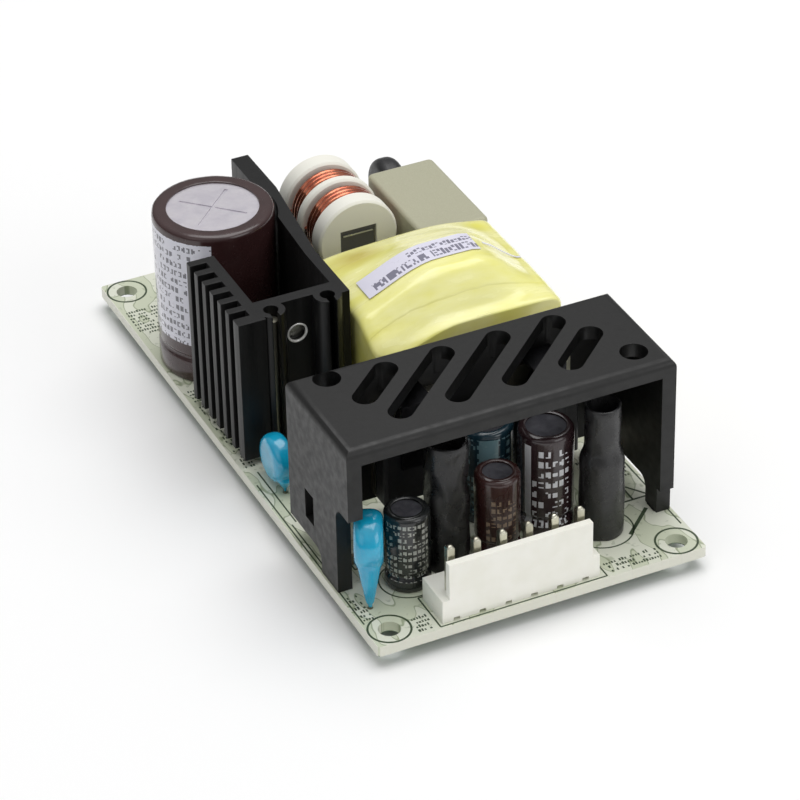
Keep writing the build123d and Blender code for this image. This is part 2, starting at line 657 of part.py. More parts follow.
def transformer():
    """Tape wrap with its core halves, winding, bobbin and pins."""
    sections = [
        place(0, y) * Rot(90, 0, 0) * hump_section(peak, left_shoulder, right_shoulder, step_in)
        for y, peak, left_shoulder, right_shoulder, step_in in TRAFO_SECTIONS
    ]
    wrap = loft(sections[:2], ruled=True)
    for rear, front in zip(sections[1:], sections[2:]):
        wrap += loft([rear, front], ruled=True)

    left, right = TRAFO_LEFT + TAPE_WALL, TRAFO_RIGHT - TAPE_WALL
    front, rear = TRAFO_SECTIONS[-1][0] + TAPE_FRONT_WALL, TRAFO_SECTIONS[0][0] - TAPE_WALL
    middle_x, middle_y = (left + right) / 2, (front + rear) / 2
    bottom, top = CORE_CENTRE_HEIGHT - CORE_HEIGHT / 2, CORE_CENTRE_HEIGHT + CORE_HEIGHT / 2
    core = block(left + CORE_GAP, right - CORE_GAP, front + CORE_GAP, rear - CORE_GAP, bottom, top)
    window_front, window_rear = front + CORE_GAP + CORE_YOKE, rear - CORE_GAP - CORE_YOKE
    half_leg = CORE_CENTRE_LEG / 2
    windows = (
        (left + CORE_GAP + CORE_OUTER_LEG, middle_x - half_leg),
        (middle_x + half_leg, right - CORE_GAP - CORE_OUTER_LEG),
    )
    for x0, x1 in windows:
        core -= block(x0, x1, window_front, window_rear, bottom - CORE_GAP, top + CORE_GAP)
    half_split = CORE_SPLIT / 2
    halves = [
        core & block(left, right, y0, y1, bottom, top)
        for y0, y1 in ((front, middle_y - half_split), (middle_y + half_split, rear))
    ]
    half_former = half_leg + BASE_WALL
    former = block(middle_x - half_former, middle_x + half_former, window_front + 2 * CORE_GAP,
                   window_rear - 2 * CORE_GAP, bottom - BASE_WALL, top + BASE_WALL)
    former -= block(middle_x - half_leg - CORE_GAP, middle_x + half_leg + CORE_GAP, front, rear,
                    bottom - CORE_GAP, top + CORE_GAP)
    coil_left = windows[0][0] + WINDING_SIDE_GAP
    coil_right = windows[1][1] - WINDING_SIDE_GAP
    coil_low = bottom - BASE_WALL - WINDING_UNDER
    coil_high = top + BASE_WALL + WINDING_WALL
    coil = block(coil_left, coil_right, window_front + WINDING_END_GAP, window_rear - WINDING_END_GAP,
                 coil_low, coil_high)
    coil = fillet(coil.edges().filter_by(Axis.Y), WINDING_ROUND)
    coil -= block(middle_x - half_former, middle_x + half_former, front, rear,
                  bottom - BASE_WALL, top + BASE_WALL)
    cavity = block(left, right, front, rear, 0, top + CORE_GAP)
    cavity += block(coil_left - CORE_GAP, coil_right + CORE_GAP,
                    window_front + CORE_GAP, window_rear - CORE_GAP, 0, coil_high + CORE_GAP)
    wrap -= cavity

    rails = []
    pins = []
    for y0 in (front + CORE_GAP, rear - CORE_GAP - CORE_YOKE):
        rails.append(block(left + BASE_SIDE_INSET, right - BASE_SIDE_INSET, y0, y0 + CORE_YOKE,
                           0, bottom - CORE_GAP))
        for step in range(TRAFO_PINS_PER_SIDE):
            pin_x = middle_x + (step - (TRAFO_PINS_PER_SIDE - 1) / 2) * TRAFO_PIN_PITCH
            pins.append(round_lead(pin_x, y0 + CORE_YOKE / 2, THICK_LEAD))
    web = block(middle_x - half_former, middle_x + half_former, front + CORE_GAP, rear - CORE_GAP,
                WINDING_ROUND / 2, coil_low - CORE_GAP)
    return wrap, halves[0], halves[1], coil, (former, rails[0] + rails[1] + web), Compound(pins)


def slotted_line(x, y0, y1):
    """Slanted slot cutter whose centre line passes x at the middle of the bracket."""
    slope = cos(radians(SLOT_ANGLE)) / sin(radians(SLOT_ANGLE))
    middle_y = (SLOT_FRONT_Y + SLOT_REAR_Y) / 2
    start = (x + (y0 - middle_y) * slope, y0)
    end = (x + (y1 - middle_y) * slope, y1)
    length = ((end[0] - start[0]) ** 2 + (end[1] - start[1]) ** 2) ** 0.5
    centre = place((start[0] + end[0]) / 2, (start[1] + end[1]) / 2, BRACKET_TOP - 2 * SHEET)
    outline = Rot(0, 0, SLOT_ANGLE) * SlotCenterToCenter(length, SLOT_WIDTH)
    return centre * extrude(outline, 4 * SHEET)


def bracket():
    """Folded sheet: top, two legs with feet, front lip and rear wall."""
    outer = block(BRACKET_LEFT, BRACKET_RIGHT, BRACKET_FRONT, BRACKET_REAR, 0, BRACKET_TOP)
    ridge = outer.faces().sort_by(Axis.Z)[-1]
    outer = fillet(ridge.edges(), BEND_RADIUS)
    inner = block(BRACKET_INNER_LEFT, BRACKET_INNER_RIGHT, BRACKET_FRONT + SHEET, BRACKET_REAR - SHEET,
                  -1, BRACKET_TOP - SHEET)
    body = outer - inner
    body -= block(BRACKET_INNER_LEFT, BRACKET_INNER_RIGHT, BRACKET_FRONT - 1, BRACKET_FRONT + SHEET,
                  -1, LIP_BOTTOM)
    body -= block(BRACKET_INNER_LEFT, BRACKET_INNER_RIGHT, BRACKET_REAR - 2 * SHEET, BRACKET_REAR + SHEET,
                  -SHEET, REAR_WALL_BOTTOM)

    middle_y = (SLOT_FRONT_Y + SLOT_REAR_Y) / 2
    for step in range(-2, 3):
        y0 = SHORT_SLOT_Y if step == -2 else SLOT_FRONT_Y
        y1 = SHORT_SLOT_Y if step == 2 else SLOT_REAR_Y
        body -= slotted_line(BRACKET_MIDDLE_X + step * SLOT_PITCH, y0, y1)
    for side in (-1, 1):
        x = BRACKET_LEFT + TOP_HOLE_LEFT_INSET if side < 0 else BRACKET_RIGHT - TOP_HOLE_RIGHT_INSET
        y = middle_y - side * TOP_HOLE_Y
        hole = Cylinder(TOP_HOLE_DIAMETER / 2, 4 * SHEET, align=STANDING)
        body -= place(x, y, BRACKET_TOP - 2 * SHEET) * hole

    def leg_cut(x, y0, y1, low, high, rounded):
        cut = block(x - 1, x + SHEET + 1, y0, y1, low, high)
        corners = cut.edges().filter_by(Axis.X).sort_by(Axis.Z)[-2:]
        return fillet(corners.sort_by(Axis.Y)[rounded], CUT_ROUND)

    left, right = BRACKET_LEFT, BRACKET_INNER_RIGHT
    foot_start = BRACKET_FRONT + LEFT_CUT_DEPTH
    foot_end = foot_start + LEFT_FOOT_LENGTH
    body -= leg_cut(left, BRACKET_FRONT - CUT_MARGIN, foot_start, -1, LEFT_CUT_HEIGHT, -1)
    body -= leg_cut(left, foot_end, BRACKET_REAR + CUT_MARGIN, -1, LEFT_UNDERCUT, 0)
    body -= block(left - 1, left + SHEET + 1, LEFT_SLOT_Y - LEFT_SLOT_WIDTH / 2,
                  LEFT_SLOT_Y + LEFT_SLOT_WIDTH / 2, LEFT_SLOT_LOW, LEFT_SLOT_HIGH)
    notch_end = BRACKET_FRONT + RIGHT_NOTCH_DEPTH
    right_foot_end = notch_end + RIGHT_FOOT_LENGTH
    body -= block(right - 1, right + SHEET + 1, BRACKET_FRONT - 1, notch_end, -1, RIGHT_NOTCH_HEIGHT)
    body -= leg_cut(right, right_foot_end, BRACKET_REAR + CUT_MARGIN, -1, RIGHT_UNDERCUT, 0)
    tabs = (
        (BRACKET_INNER_LEFT - FOOT_TAB_THICKNESS / 2, (foot_start + foot_end) / 2),
        (BRACKET_INNER_RIGHT + FOOT_TAB_THICKNESS / 2, (notch_end + right_foot_end) / 2),
    )
    for tab_x, tab_y in tabs:
        body += flat_lead(tab_x, tab_y, FOOT_TAB_THICKNESS, FOOT_TAB_LENGTH, 0.5)
    return body


def rectifier_clip(x):
    """Spring clip from the rear wall over the front of a rectifier's body."""
    wall = BRACKET_REAR - SHEET
    half = CLIP_WIDTH / 2
    nose = wall - PACKAGE_DEPTH - CLIP_THICKNESS
    low = RECTIFIER_LIFT + PACKAGE_HEIGHT - CLIP_REACH
    clip = block(x - half, x + half, nose, wall, CLIP_TOP, CLIP_TOP + CLIP_THICKNESS)
    return clip + block(x - half, x + half, nose, nose + CLIP_THICKNESS, low, CLIP_TOP + CLIP_THICKNESS)


def rod_choke(x, y, diameter, height, step_share):
    """Ferrite rod with its wire ends in a shrunk sleeve that stands open at the top."""
    radius = diameter / 2
    inner = radius - ROD_WALL
    rod_top = height * ROD_LENGTH_SHARE
    neck = radius * step_share
    profile = [
        (inner, 0), (radius, 0), (radius, rod_top - 1), (neck, rod_top + 1), (neck, height),
        (neck - ROD_WALL, height), (neck - ROD_WALL, rod_top + 1), (inner, rod_top - 1),
    ]
    sleeve = place(x, y) * turned(profile)
    rod = place(x, y) * Cylinder(inner - SLEEVE_GAP, rod_top - 1.2, align=STANDING)
    for side in (-1, 1):
        rod += round_lead(x, y + side * ROD_WIRE_OFFSET, THICK_LEAD, 1)
    return rod, sleeve


def voltage_reference():
    """Small three-lead package with one flat side."""
    body = Cylinder(REFERENCE_DIAMETER / 2, REFERENCE_HEIGHT - REFERENCE_LIFT, align=STANDING)
    body -= Pos(0, -REFERENCE_FLAT, 0) * Box(REFERENCE_DIAMETER, REFERENCE_DIAMETER, 2 * REFERENCE_HEIGHT)
    body = place(REFERENCE_X, REFERENCE_Y, REFERENCE_LIFT) * body
    for step in (-1, 0, 1):
        body += flat_lead(REFERENCE_X + step * SMALL_CAP_PITCH / 2, REFERENCE_Y, REFERENCE_LEAD,
                          REFERENCE_LEAD, REFERENCE_LIFT + 1)
    return body


def axial_parts(places, diameter):
    """Group of like axial parts lying along X on bent leads."""
    parts = []
    for x, y in places:
        level = diameter / 2 + AXIAL_REST
        body = Rot(0, 90, 0) * Cylinder(diameter / 2, AXIAL_LENGTH)
        body = place(x, y, level) * fillet(body.edges().filter_by(GeomType.CIRCLE), 0.4)
        wire = Rot(0, 90, 0) * Cylinder(THIN_LEAD / 2, AXIAL_PITCH)
        body += place(x, y, level) * wire
        for side in (-1, 1):
            body += round_lead(x + side * AXIAL_PITCH / 2, y, THIN_LEAD, level)
        parts.append(body)
    return Compound(parts)


def film_capacitor():
    """Small moulded box on two leads."""
    half_width, half_depth = FILM_CAP_WIDTH / 2, FILM_CAP_DEPTH / 2
    body = moulded_box(FILM_CAP_X - half_width, FILM_CAP_X + half_width, FILM_CAP_Y - half_depth,
                       FILM_CAP_Y + half_depth, 0, FILM_CAP_HEIGHT, 0.5)
    for side in (-1, 1):
        body += round_lead(FILM_CAP_X + side * FILM_CAP_PITCH / 2, FILM_CAP_Y, THIN_LEAD, 0.5)
    return body


def control_chip():
    """Eight-lead chip on the board's underside."""
    low = -TOP - CHIP_STANDOFF - CHIP_THICKNESS
    body = block(CHIP_X - CHIP_WIDTH / 2, CHIP_X + CHIP_WIDTH / 2, CHIP_Y - CHIP_LENGTH / 2,
                 CHIP_Y + CHIP_LENGTH / 2, low, low + CHIP_THICKNESS)
    body = chamfer(body.faces().sort_by(Axis.Z)[0].edges(), 0.25)
    for side in (-1, 1):
        for step in range(4):
            y = CHIP_Y + (step - 1.5) * CHIP_PITCH
            x_out = CHIP_X + side * CHIP_SPAN / 2
            x_in = CHIP_X + side * (CHIP_WIDTH / 2 - 0.2)
            level = low + CHIP_THICKNESS / 2
            body += block(min(x_out, x_in), max(x_out, x_in), y - CHIP_FOOT / 2, y + CHIP_FOOT / 2,
                          level - 0.1, level + 0.1)
            x_bend = x_out - side * 0.5
            body += block(min(x_out, x_bend), max(x_out, x_bend), y - CHIP_FOOT / 2, y + CHIP_FOOT / 2,
                          level - 0.1, -TOP)
    return body


def small_chips():
    """Chip parts on the board's underside."""
    length, width, height = SMALL_CHIP
    return Compound([
        place(x, y, -TOP - height) * Box(length, width, height, align=STANDING)
        for x, y in SMALL_CHIP_PLACES
    ])


def board():
    """Board with its mounting holes and a hole for every lead."""
    plate = Rectangle(BOARD_WIDTH, BOARD_LENGTH)
    plate = fillet(plate.vertices(), BOARD_CORNER)
    for side_x in (-1, 1):
        for side_y in (-1, 1):
            hole = Pos(side_x * (BOARD_WIDTH / 2 - MOUNT_INSET), side_y * (BOARD_LENGTH / 2 - MOUNT_INSET))
            plate -= hole * Circle(MOUNT_DIAMETER / 2)
    for lead in lead_holes:
        plate -= Pos(0, 0, -TOP) * lead
    return extrude(plate, BOARD_THICKNESS)


nodes = {}
nodes["reservoir_can"], nodes["reservoir_sleeve"] = reservoir()
nodes["primary_heatsink"] = heatsink()
nodes["heatsink_pins"] = heatsink_pins()
(nodes["transistor_body"], nodes["transistor_tab"], nodes["transistor_pad"],
 nodes["transistor_screw"]) = transistor()
(nodes["choke_bobbin"], nodes["choke_core"], nodes["choke_winding_front"], nodes["choke_winding_rear"],
 nodes["choke_pins"]) = choke()
nodes["suppression_capacitor"] = suppression_capacitor()
nodes["thermistor"] = coated_disc(THERMISTOR_X, BOARD_LENGTH - THERMISTOR_INSET, THERMISTOR_DIAMETER,
                                  THERMISTOR_THICKNESS, THERMISTOR_HEIGHT, DISC_PITCH)
nodes["varistor"] = coated_disc(VARISTOR_X, BOARD_LENGTH - VARISTOR_INSET, VARISTOR_DIAMETER,
                                VARISTOR_THICKNESS, VARISTOR_HEIGHT, DISC_PITCH, 0)
nodes["fuse"] = fuse()
nodes["bridge_rectifier"] = dual_row(BRIDGE_X, BOARD_LENGTH - BRIDGE_INSET, BRIDGE_LENGTH, BRIDGE_WIDTH,
                                     BRIDGE_HEIGHT, COUPLER_LIFT, BRIDGE_LEAD_ROW, BRIDGE_PITCH, 2)
nodes["output_header"], nodes["output_pins"] = header(
    OUTPUT_HEADER_LEFT, OUTPUT_HEADER_FRONT, OUTPUT_PINS, -1, range(OUTPUT_PINS))
nodes["input_header"], nodes["input_pins"] = header(
    INPUT_HEADER_LEFT, BOARD_LENGTH - INPUT_HEADER_REAR_INSET - HEADER_DEPTH, INPUT_WAYS, 1,
    (0, INPUT_WAYS - 1))
(nodes["transformer_tape"], nodes["transformer_core_front"], nodes["transformer_core_rear"],
 nodes["transformer_winding"], trafo_bobbin, nodes["transformer_pins"]) = transformer()
nodes["transformer_former"], nodes["transformer_base"] = trafo_bobbin
nodes["output_bracket"] = bracket()
for name, x in (("left", RECTIFIER_LEFT_X), ("right", RECTIFIER_RIGHT_X)):
    nodes[f"rectifier_{name}_body"], nodes[f"rectifier_{name}_tab"] = power_package(
        x, BRACKET_REAR - SHEET, RECTIFIER_LIFT, -1)
nodes["rectifier_clips"] = Compound([rectifier_clip(x) for x in (RECTIFIER_LEFT_X, RECTIFIER_RIGHT_X)])
nodes["disc_capacitor_front"] = coated_disc(FRONT_DISC_X, FRONT_DISC_Y, DISC_DIAMETER, DISC_THICKNESS,
                                            DISC_HEIGHT, DISC_PITCH, DISC_TURN)
nodes["disc_capacitor_rear"] = coated_disc(REAR_DISC_X, REAR_DISC_Y, REAR_DISC_DIAMETER, DISC_THICKNESS,
                                           REAR_DISC_HEIGHT, DISC_PITCH)
nodes["rod_choke_left"], nodes["rod_sleeve_left"] = rod_choke(
    LEFT_ROD_X, LEFT_ROD_Y, LEFT_ROD_DIAMETER, LEFT_ROD_HEIGHT, 0.96)
nodes["rod_choke_right"], nodes["rod_sleeve_right"] = rod_choke(
    RIGHT_ROD_X, RIGHT_ROD_Y, RIGHT_ROD_DIAMETER, RIGHT_ROD_HEIGHT, 0.8)
small_caps = (("black", BLACK_CAP), ("brown", BROWN_CAP), ("tall", TALL_CAP), ("teal", TEAL_CAP),
              ("auxiliary", AUXILIARY_CAP))
for name, (x, y, diameter, height) in small_caps:
    pitch = LARGE_CAP_PITCH if diameter > 7 else SMALL_CAP_PITCH
    nodes[f"{name}_capacitor_can"], nodes[f"{name}_capacitor_sleeve"] = capacitor(
        x, y, diameter, height, pitch, THIN_LEAD)
nodes["optocoupler"] = dual_row(COUPLER_X, COUPLER_Y, COUPLER_WIDTH, COUPLER_LENGTH, COUPLER_HEIGHT,
                                COUPLER_LIFT, COUPLER_ROW, DUAL_PITCH, 2)
nodes["voltage_reference"] = voltage_reference()
nodes["film_capacitor"] = film_capacitor()
nodes["resistors"] = axial_parts(RESISTOR_PLACES, RESISTOR_DIAMETER)
nodes["diodes"] = axial_parts(DIODE_PLACES, DIODE_DIAMETER)
nodes["control_chip"] = control_chip()
nodes["chip_parts"] = small_chips()
nodes["circuit_board"] = board()

os.makedirs("parts", exist_ok=True)
for name, shape in nodes.items():
    export_step(shape, f"parts/{name}.step")
print(len(nodes), "nodes,", len(lead_holes), "lead holes")
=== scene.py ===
"""Looks of an open frame power supply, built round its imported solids, in metres."""
from __future__ import annotations

import logging
import math
from dataclasses import dataclass
from enum import Enum
from typing import Iterable, Sequence, Union

import bmesh
import bpy
from mathutils import Matrix, Quaternion, Vector, noise

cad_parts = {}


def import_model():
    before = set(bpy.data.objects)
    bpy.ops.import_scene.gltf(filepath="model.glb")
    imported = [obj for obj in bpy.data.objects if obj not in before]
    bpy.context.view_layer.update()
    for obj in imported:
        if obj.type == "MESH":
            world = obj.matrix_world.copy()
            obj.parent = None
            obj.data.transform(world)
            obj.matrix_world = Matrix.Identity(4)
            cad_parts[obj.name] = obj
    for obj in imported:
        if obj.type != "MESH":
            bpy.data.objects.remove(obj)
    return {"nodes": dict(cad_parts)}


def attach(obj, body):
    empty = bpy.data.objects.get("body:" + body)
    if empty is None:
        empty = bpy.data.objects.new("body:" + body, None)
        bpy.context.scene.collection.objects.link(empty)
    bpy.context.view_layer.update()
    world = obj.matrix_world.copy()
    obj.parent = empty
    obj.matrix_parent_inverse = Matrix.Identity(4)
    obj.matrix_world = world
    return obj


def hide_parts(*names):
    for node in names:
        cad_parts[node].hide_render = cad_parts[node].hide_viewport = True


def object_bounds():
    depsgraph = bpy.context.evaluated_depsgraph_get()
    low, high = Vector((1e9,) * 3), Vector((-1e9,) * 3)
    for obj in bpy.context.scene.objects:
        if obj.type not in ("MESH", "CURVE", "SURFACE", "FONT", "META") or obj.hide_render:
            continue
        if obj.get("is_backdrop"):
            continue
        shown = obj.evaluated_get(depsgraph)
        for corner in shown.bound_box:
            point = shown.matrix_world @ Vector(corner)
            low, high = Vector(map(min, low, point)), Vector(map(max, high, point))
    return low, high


LOG = logging.getLogger("power_supply")
MM = 0.001
BOARD_WIDTH = 50.8
BOARD_LENGTH = 101.6
BOARD_THICKNESS = 1.6
Colour = tuple[float, float, float]
Number = Union[float, "Value"]


def at(x: float, y: float, z: float = 0.0) -> Vector:
    """Point given from the board's left edge, front edge and top face.

    Args:
        x: Millimetres from the left edge.
        y: Millimetres from the front edge.
        z: Millimetres above the top face.

    Returns:
        The point in the row frame, in metres.
    """
    return Vector((x - BOARD_WIDTH / 2, y - BOARD_LENGTH / 2, z + BOARD_THICKNESS)) * MM


def linear(colour: Colour) -> tuple[float, float, float, float]:
    """Turns a display colour of 0 to 255 into linear light with full alpha.

    Args:
        colour: Red, green and blue, 0 to 255.

    Returns:
        Linear red, green, blue and alpha.
    """
    parts = [c / 255 for c in colour]
    light = [c / 12.92 if c <= 0.04045 else ((c + 0.055) / 1.055) ** 2.4 for c in parts]
    return light[0], light[1], light[2], 1.0


def placed(name: str, data: bpy.types.ID) -> bpy.types.Object:
    """Makes an object in the scene from its data.

    Args:
        name: The object's name.
        data: Its mesh, light or camera.

    Returns:
        The new object.
    """
    made = bpy.data.objects.new(name, data)
    bpy.context.scene.collection.objects.link(made)
    return made


def span(points: Iterable[Vector]) -> tuple[Vector, Vector]:
    """Least and greatest corner of the box round some points.

    Args:
        points: The points.

    Returns:
        Both corners.
    """
    columns = list(zip(*points))
    return Vector(min(column) for column in columns), Vector(max(column) for column in columns)


class Value:
    """A number or vector in a node tree, with arithmetic."""

    def __init__(self, paint: "Paint", socket: bpy.types.NodeSocket) -> None:
        """Wraps an output socket.

        Args:
            paint: The tree that the socket is in.
            socket: The output socket.
        """
        self.paint = paint
        self.socket = socket

    def __add__(self, other: Number) -> "Value":
        """Sum of the two."""
        return self.paint.math("ADD", self, other)

    def __sub__(self, other: Number) -> "Value":
        """Difference of the two."""
        return self.paint.math("SUBTRACT", self, other)

    def __mul__(self, other: Number) -> "Value":
        """Product of the two."""
        return self.paint.math("MULTIPLY", self, other)

    def __truediv__(self, other: Number) -> "Value":
        """Quotient of the two."""
        return self.paint.math("DIVIDE", self, other)

    def __abs__(self) -> "Value":
        """Size without its sign."""
        return self.paint.math("ABSOLUTE", self)

    def __gt__(self, other: Number) -> "Value":
        """One where this is the greater, else zero."""
        return self.paint.math("GREATER_THAN", self, other)

    def __lt__(self, other: Number) -> "Value":
        """One where this is the smaller, else zero."""
        return self.paint.math("LESS_THAN", self, other)

    def between(self, low: float, high: float) -> "Value":
        """One between two limits, else zero."""
        return (self > low) * (self < high)

    def fraction(self) -> "Value":
        """Part after the decimal point."""
        return self.paint.math("FRACT", self)

    def whole(self) -> "Value":
        """Part before the decimal point."""
        return self.paint.math("FLOOR", self)

    def either(self, other: Number) -> "Value":
        """The greater of the two."""
        return self.paint.math("MAXIMUM", self, other)


class Paint:
    """Builds the node tree of one material or of the world."""

    def __init__(self, name: str, world: bool = False) -> None:
        """Starts a material or a world with an empty tree.

        Args:
            name: Its name.
            world: Whether it is a world.
        """
        self.owner = (bpy.data.worlds if world else bpy.data.materials).new(name)
        self.owner.use_nodes = True
        self.tree = self.owner.node_tree
        self.tree.nodes.clear()

    def node(self, kind: str, settings: dict | None = None, inputs: dict | None = None) -> bpy.types.Node:
        """Adds a node, sets its options, and sets or links its inputs.

        Args:
            kind: The node's type name without its ShaderNode prefix.
            settings: Option names and values.
            inputs: Input names or numbers, with constants, values or sockets.

        Returns:
            The new node.
        """
        made = self.tree.nodes.new("ShaderNode" + kind)
        for name, value in (settings or {}).items():
            setattr(made, name, value)
        for name, value in (inputs or {}).items():
            if isinstance(value, Value):
                self.tree.links.new(value.socket, made.inputs[name])
            elif isinstance(value, bpy.types.NodeSocket):
                self.tree.links.new(value, made.inputs[name])
            else:
                made.inputs[name].default_value = value
        return made

    def math(self, operation: str, first: Number, second: Number | None = None) -> Value:
        """One arithmetic step.

        Args:
            operation: The step's name.
            first: First number.
            second: Second number, if the step takes one.

        Returns:
            The result.
        """
        inputs = {0: first} if second is None else {0: first, 1: second}
        return Value(self, self.node("Math", {"operation": operation}, inputs).outputs[0])

    def place(self) -> Value:
        """Position on the object, in metres."""
        return Value(self, self.node("TexCoord").outputs["Object"])

    def axes(self, vector: Value) -> tuple[Value, Value, Value]:
        """Splits a vector into its three parts."""
        parts = self.node("SeparateXYZ", inputs={0: vector})
        return Value(self, parts.outputs[0]), Value(self, parts.outputs[1]), Value(self, parts.outputs[2])

    def join(self, x: Number, y: Number, z: Number) -> Value:
        """Joins three numbers into a vector."""
        return Value(self, self.node("CombineXYZ", inputs={0: x, 1: y, 2: z}).outputs[0])

    def stretched(self, vector: Value, factors: Sequence[float]) -> Value:
        """Scales a vector's three parts."""
        made = self.node("VectorMath", {"operation": "MULTIPLY"}, {0: vector, 1: tuple(factors)})
        return Value(self, made.outputs[0])

    def noise(self, vector: Value, scale: float, detail: float = 3.0) -> Value:
        """Soft noise from 0 to 1."""
        made = self.node("TexNoise", inputs={"Vector": vector, "Scale": scale, "Detail": detail})
        return Value(self, made.outputs[0])

    def random(self, vector: Value) -> Value:
        """One random number for each whole cell of a vector."""
        return Value(self, self.node("TexWhiteNoise", inputs={"Vector": vector}).outputs["Value"])

    def spread(self, value: Value, low: float, high: float, out_low: float = 0.0,
               out_high: float = 1.0) -> Value:
        """Maps a range onto another, clamped."""
        inputs = {"Value": value, "From Min": low, "From Max": high, "To Min": out_low, "To Max": out_high}
        return Value(self, self.node("MapRange", {"clamp": True}, inputs).outputs[0])

    def mix(self, factor: Number, first: Colour | Value, second: Colour | Value) -> Value:
        """Mixes two colours.

        Args:
            factor: Share of the second colour.
            first: Display colour or mixed colour.
            second: Display colour or mixed colour.

        Returns:
            The mixed colour.
        """
        made = self.node("Mix", {"data_type": "RGBA"}, {0: factor})
        for number, colour in ((6, first), (7, second)):
            if isinstance(colour, Value):
                self.tree.links.new(colour.socket, made.inputs[number])
            else:
                made.inputs[number].default_value = linear(colour)
        return Value(self, made.outputs[2])

    def finish(self, colour: Value, roughness: Number, relief: Value | None = None, depth: float = 0.0001,
               strength: float = 0.3, **constants: float) -> bpy.types.Material:
        """Closes the tree with a surface.

        Args:
            colour: Base colour.
            roughness: Roughness, fixed or patterned.
            relief: Height pattern for the bump, from 0 to 1.
            depth: Height of the relief in metres.
            strength: Share of the relief that shows.
            **constants: Other inputs of the surface, with _ for a space in their names.

        Returns:
            The finished material.
        """
        inputs: dict = {"Base Color": colour, "Roughness": roughness}
        inputs.update({name.replace("_", " "): value for name, value in constants.items()})
        if relief is not None:
            bump = self.node("Bump", inputs={"Height": relief, "Distance": depth, "Strength": strength})
            inputs["Normal"] = bump.outputs[0]
        surface = self.node("BsdfPrincipled", inputs=inputs)
        self.node("OutputMaterial", inputs={0: surface.outputs[0]})
        return self.owner


class Grain(Enum):
    """Patterns that vary a finish."""

    CLOUDS = "soft patches"
    SPECKS = "fine grains"
    UPRIGHT = "lines along Z"


@dataclass(frozen=True)
class Finish:
    """A surface with two close colours, its gloss and its fine relief.

    Args:
        name: Material name.
        colour: Main display colour.
        other: Second display colour.
        roughness: Mean roughness.
        vary: Range of the roughness.
        grain: Pattern that mixes the colours.
        size: Size of the pattern in millimetres.
        relief: Share of the relief that shows.
        metallic: One for bare metal.
        coat: Weight of a clear coat.
        specular: Strength of the reflection at right angles.
    """

    name: str
    colour: Colour
    other: Colour
    roughness: float
    vary: float = 0.08
    grain: Grain = Grain.CLOUDS
    size: float = 2.0
    relief: float = 0.15
    metallic: float = 0.0
    coat: float = 0.0
    specular: float = 0.5

    def material(self) -> bpy.types.Material:
        """Builds the material once, then hands out the same one."""
        known = bpy.data.materials.get(self.name)
        if known is not None:
            return known
        paint = Paint(self.name)
        stretch = (1, 1, 0.04) if self.grain is Grain.UPRIGHT else (1, 1, 1)
        place = paint.stretched(paint.place(), stretch)
        coarse = paint.noise(place, 1 / (self.size * MM))
        fine = paint.noise(place, 9 / (self.size * MM), 5.0)
        pattern = fine if self.grain is Grain.SPECKS else coarse
        colour = paint.mix(paint.spread(pattern, 0.35, 0.65), self.colour, self.other)
        glossiest = max(self.roughness - self.vary, 0.03)
        gloss = paint.spread(coarse, 0.3, 0.7, glossiest, self.roughness + self.vary)
        return paint.finish(colour, gloss, fine, 0.00008, self.relief, Metallic=self.metallic,
                            Coat_Weight=self.coat, Coat_Roughness=0.12, Specular_IOR_Level=self.specular)


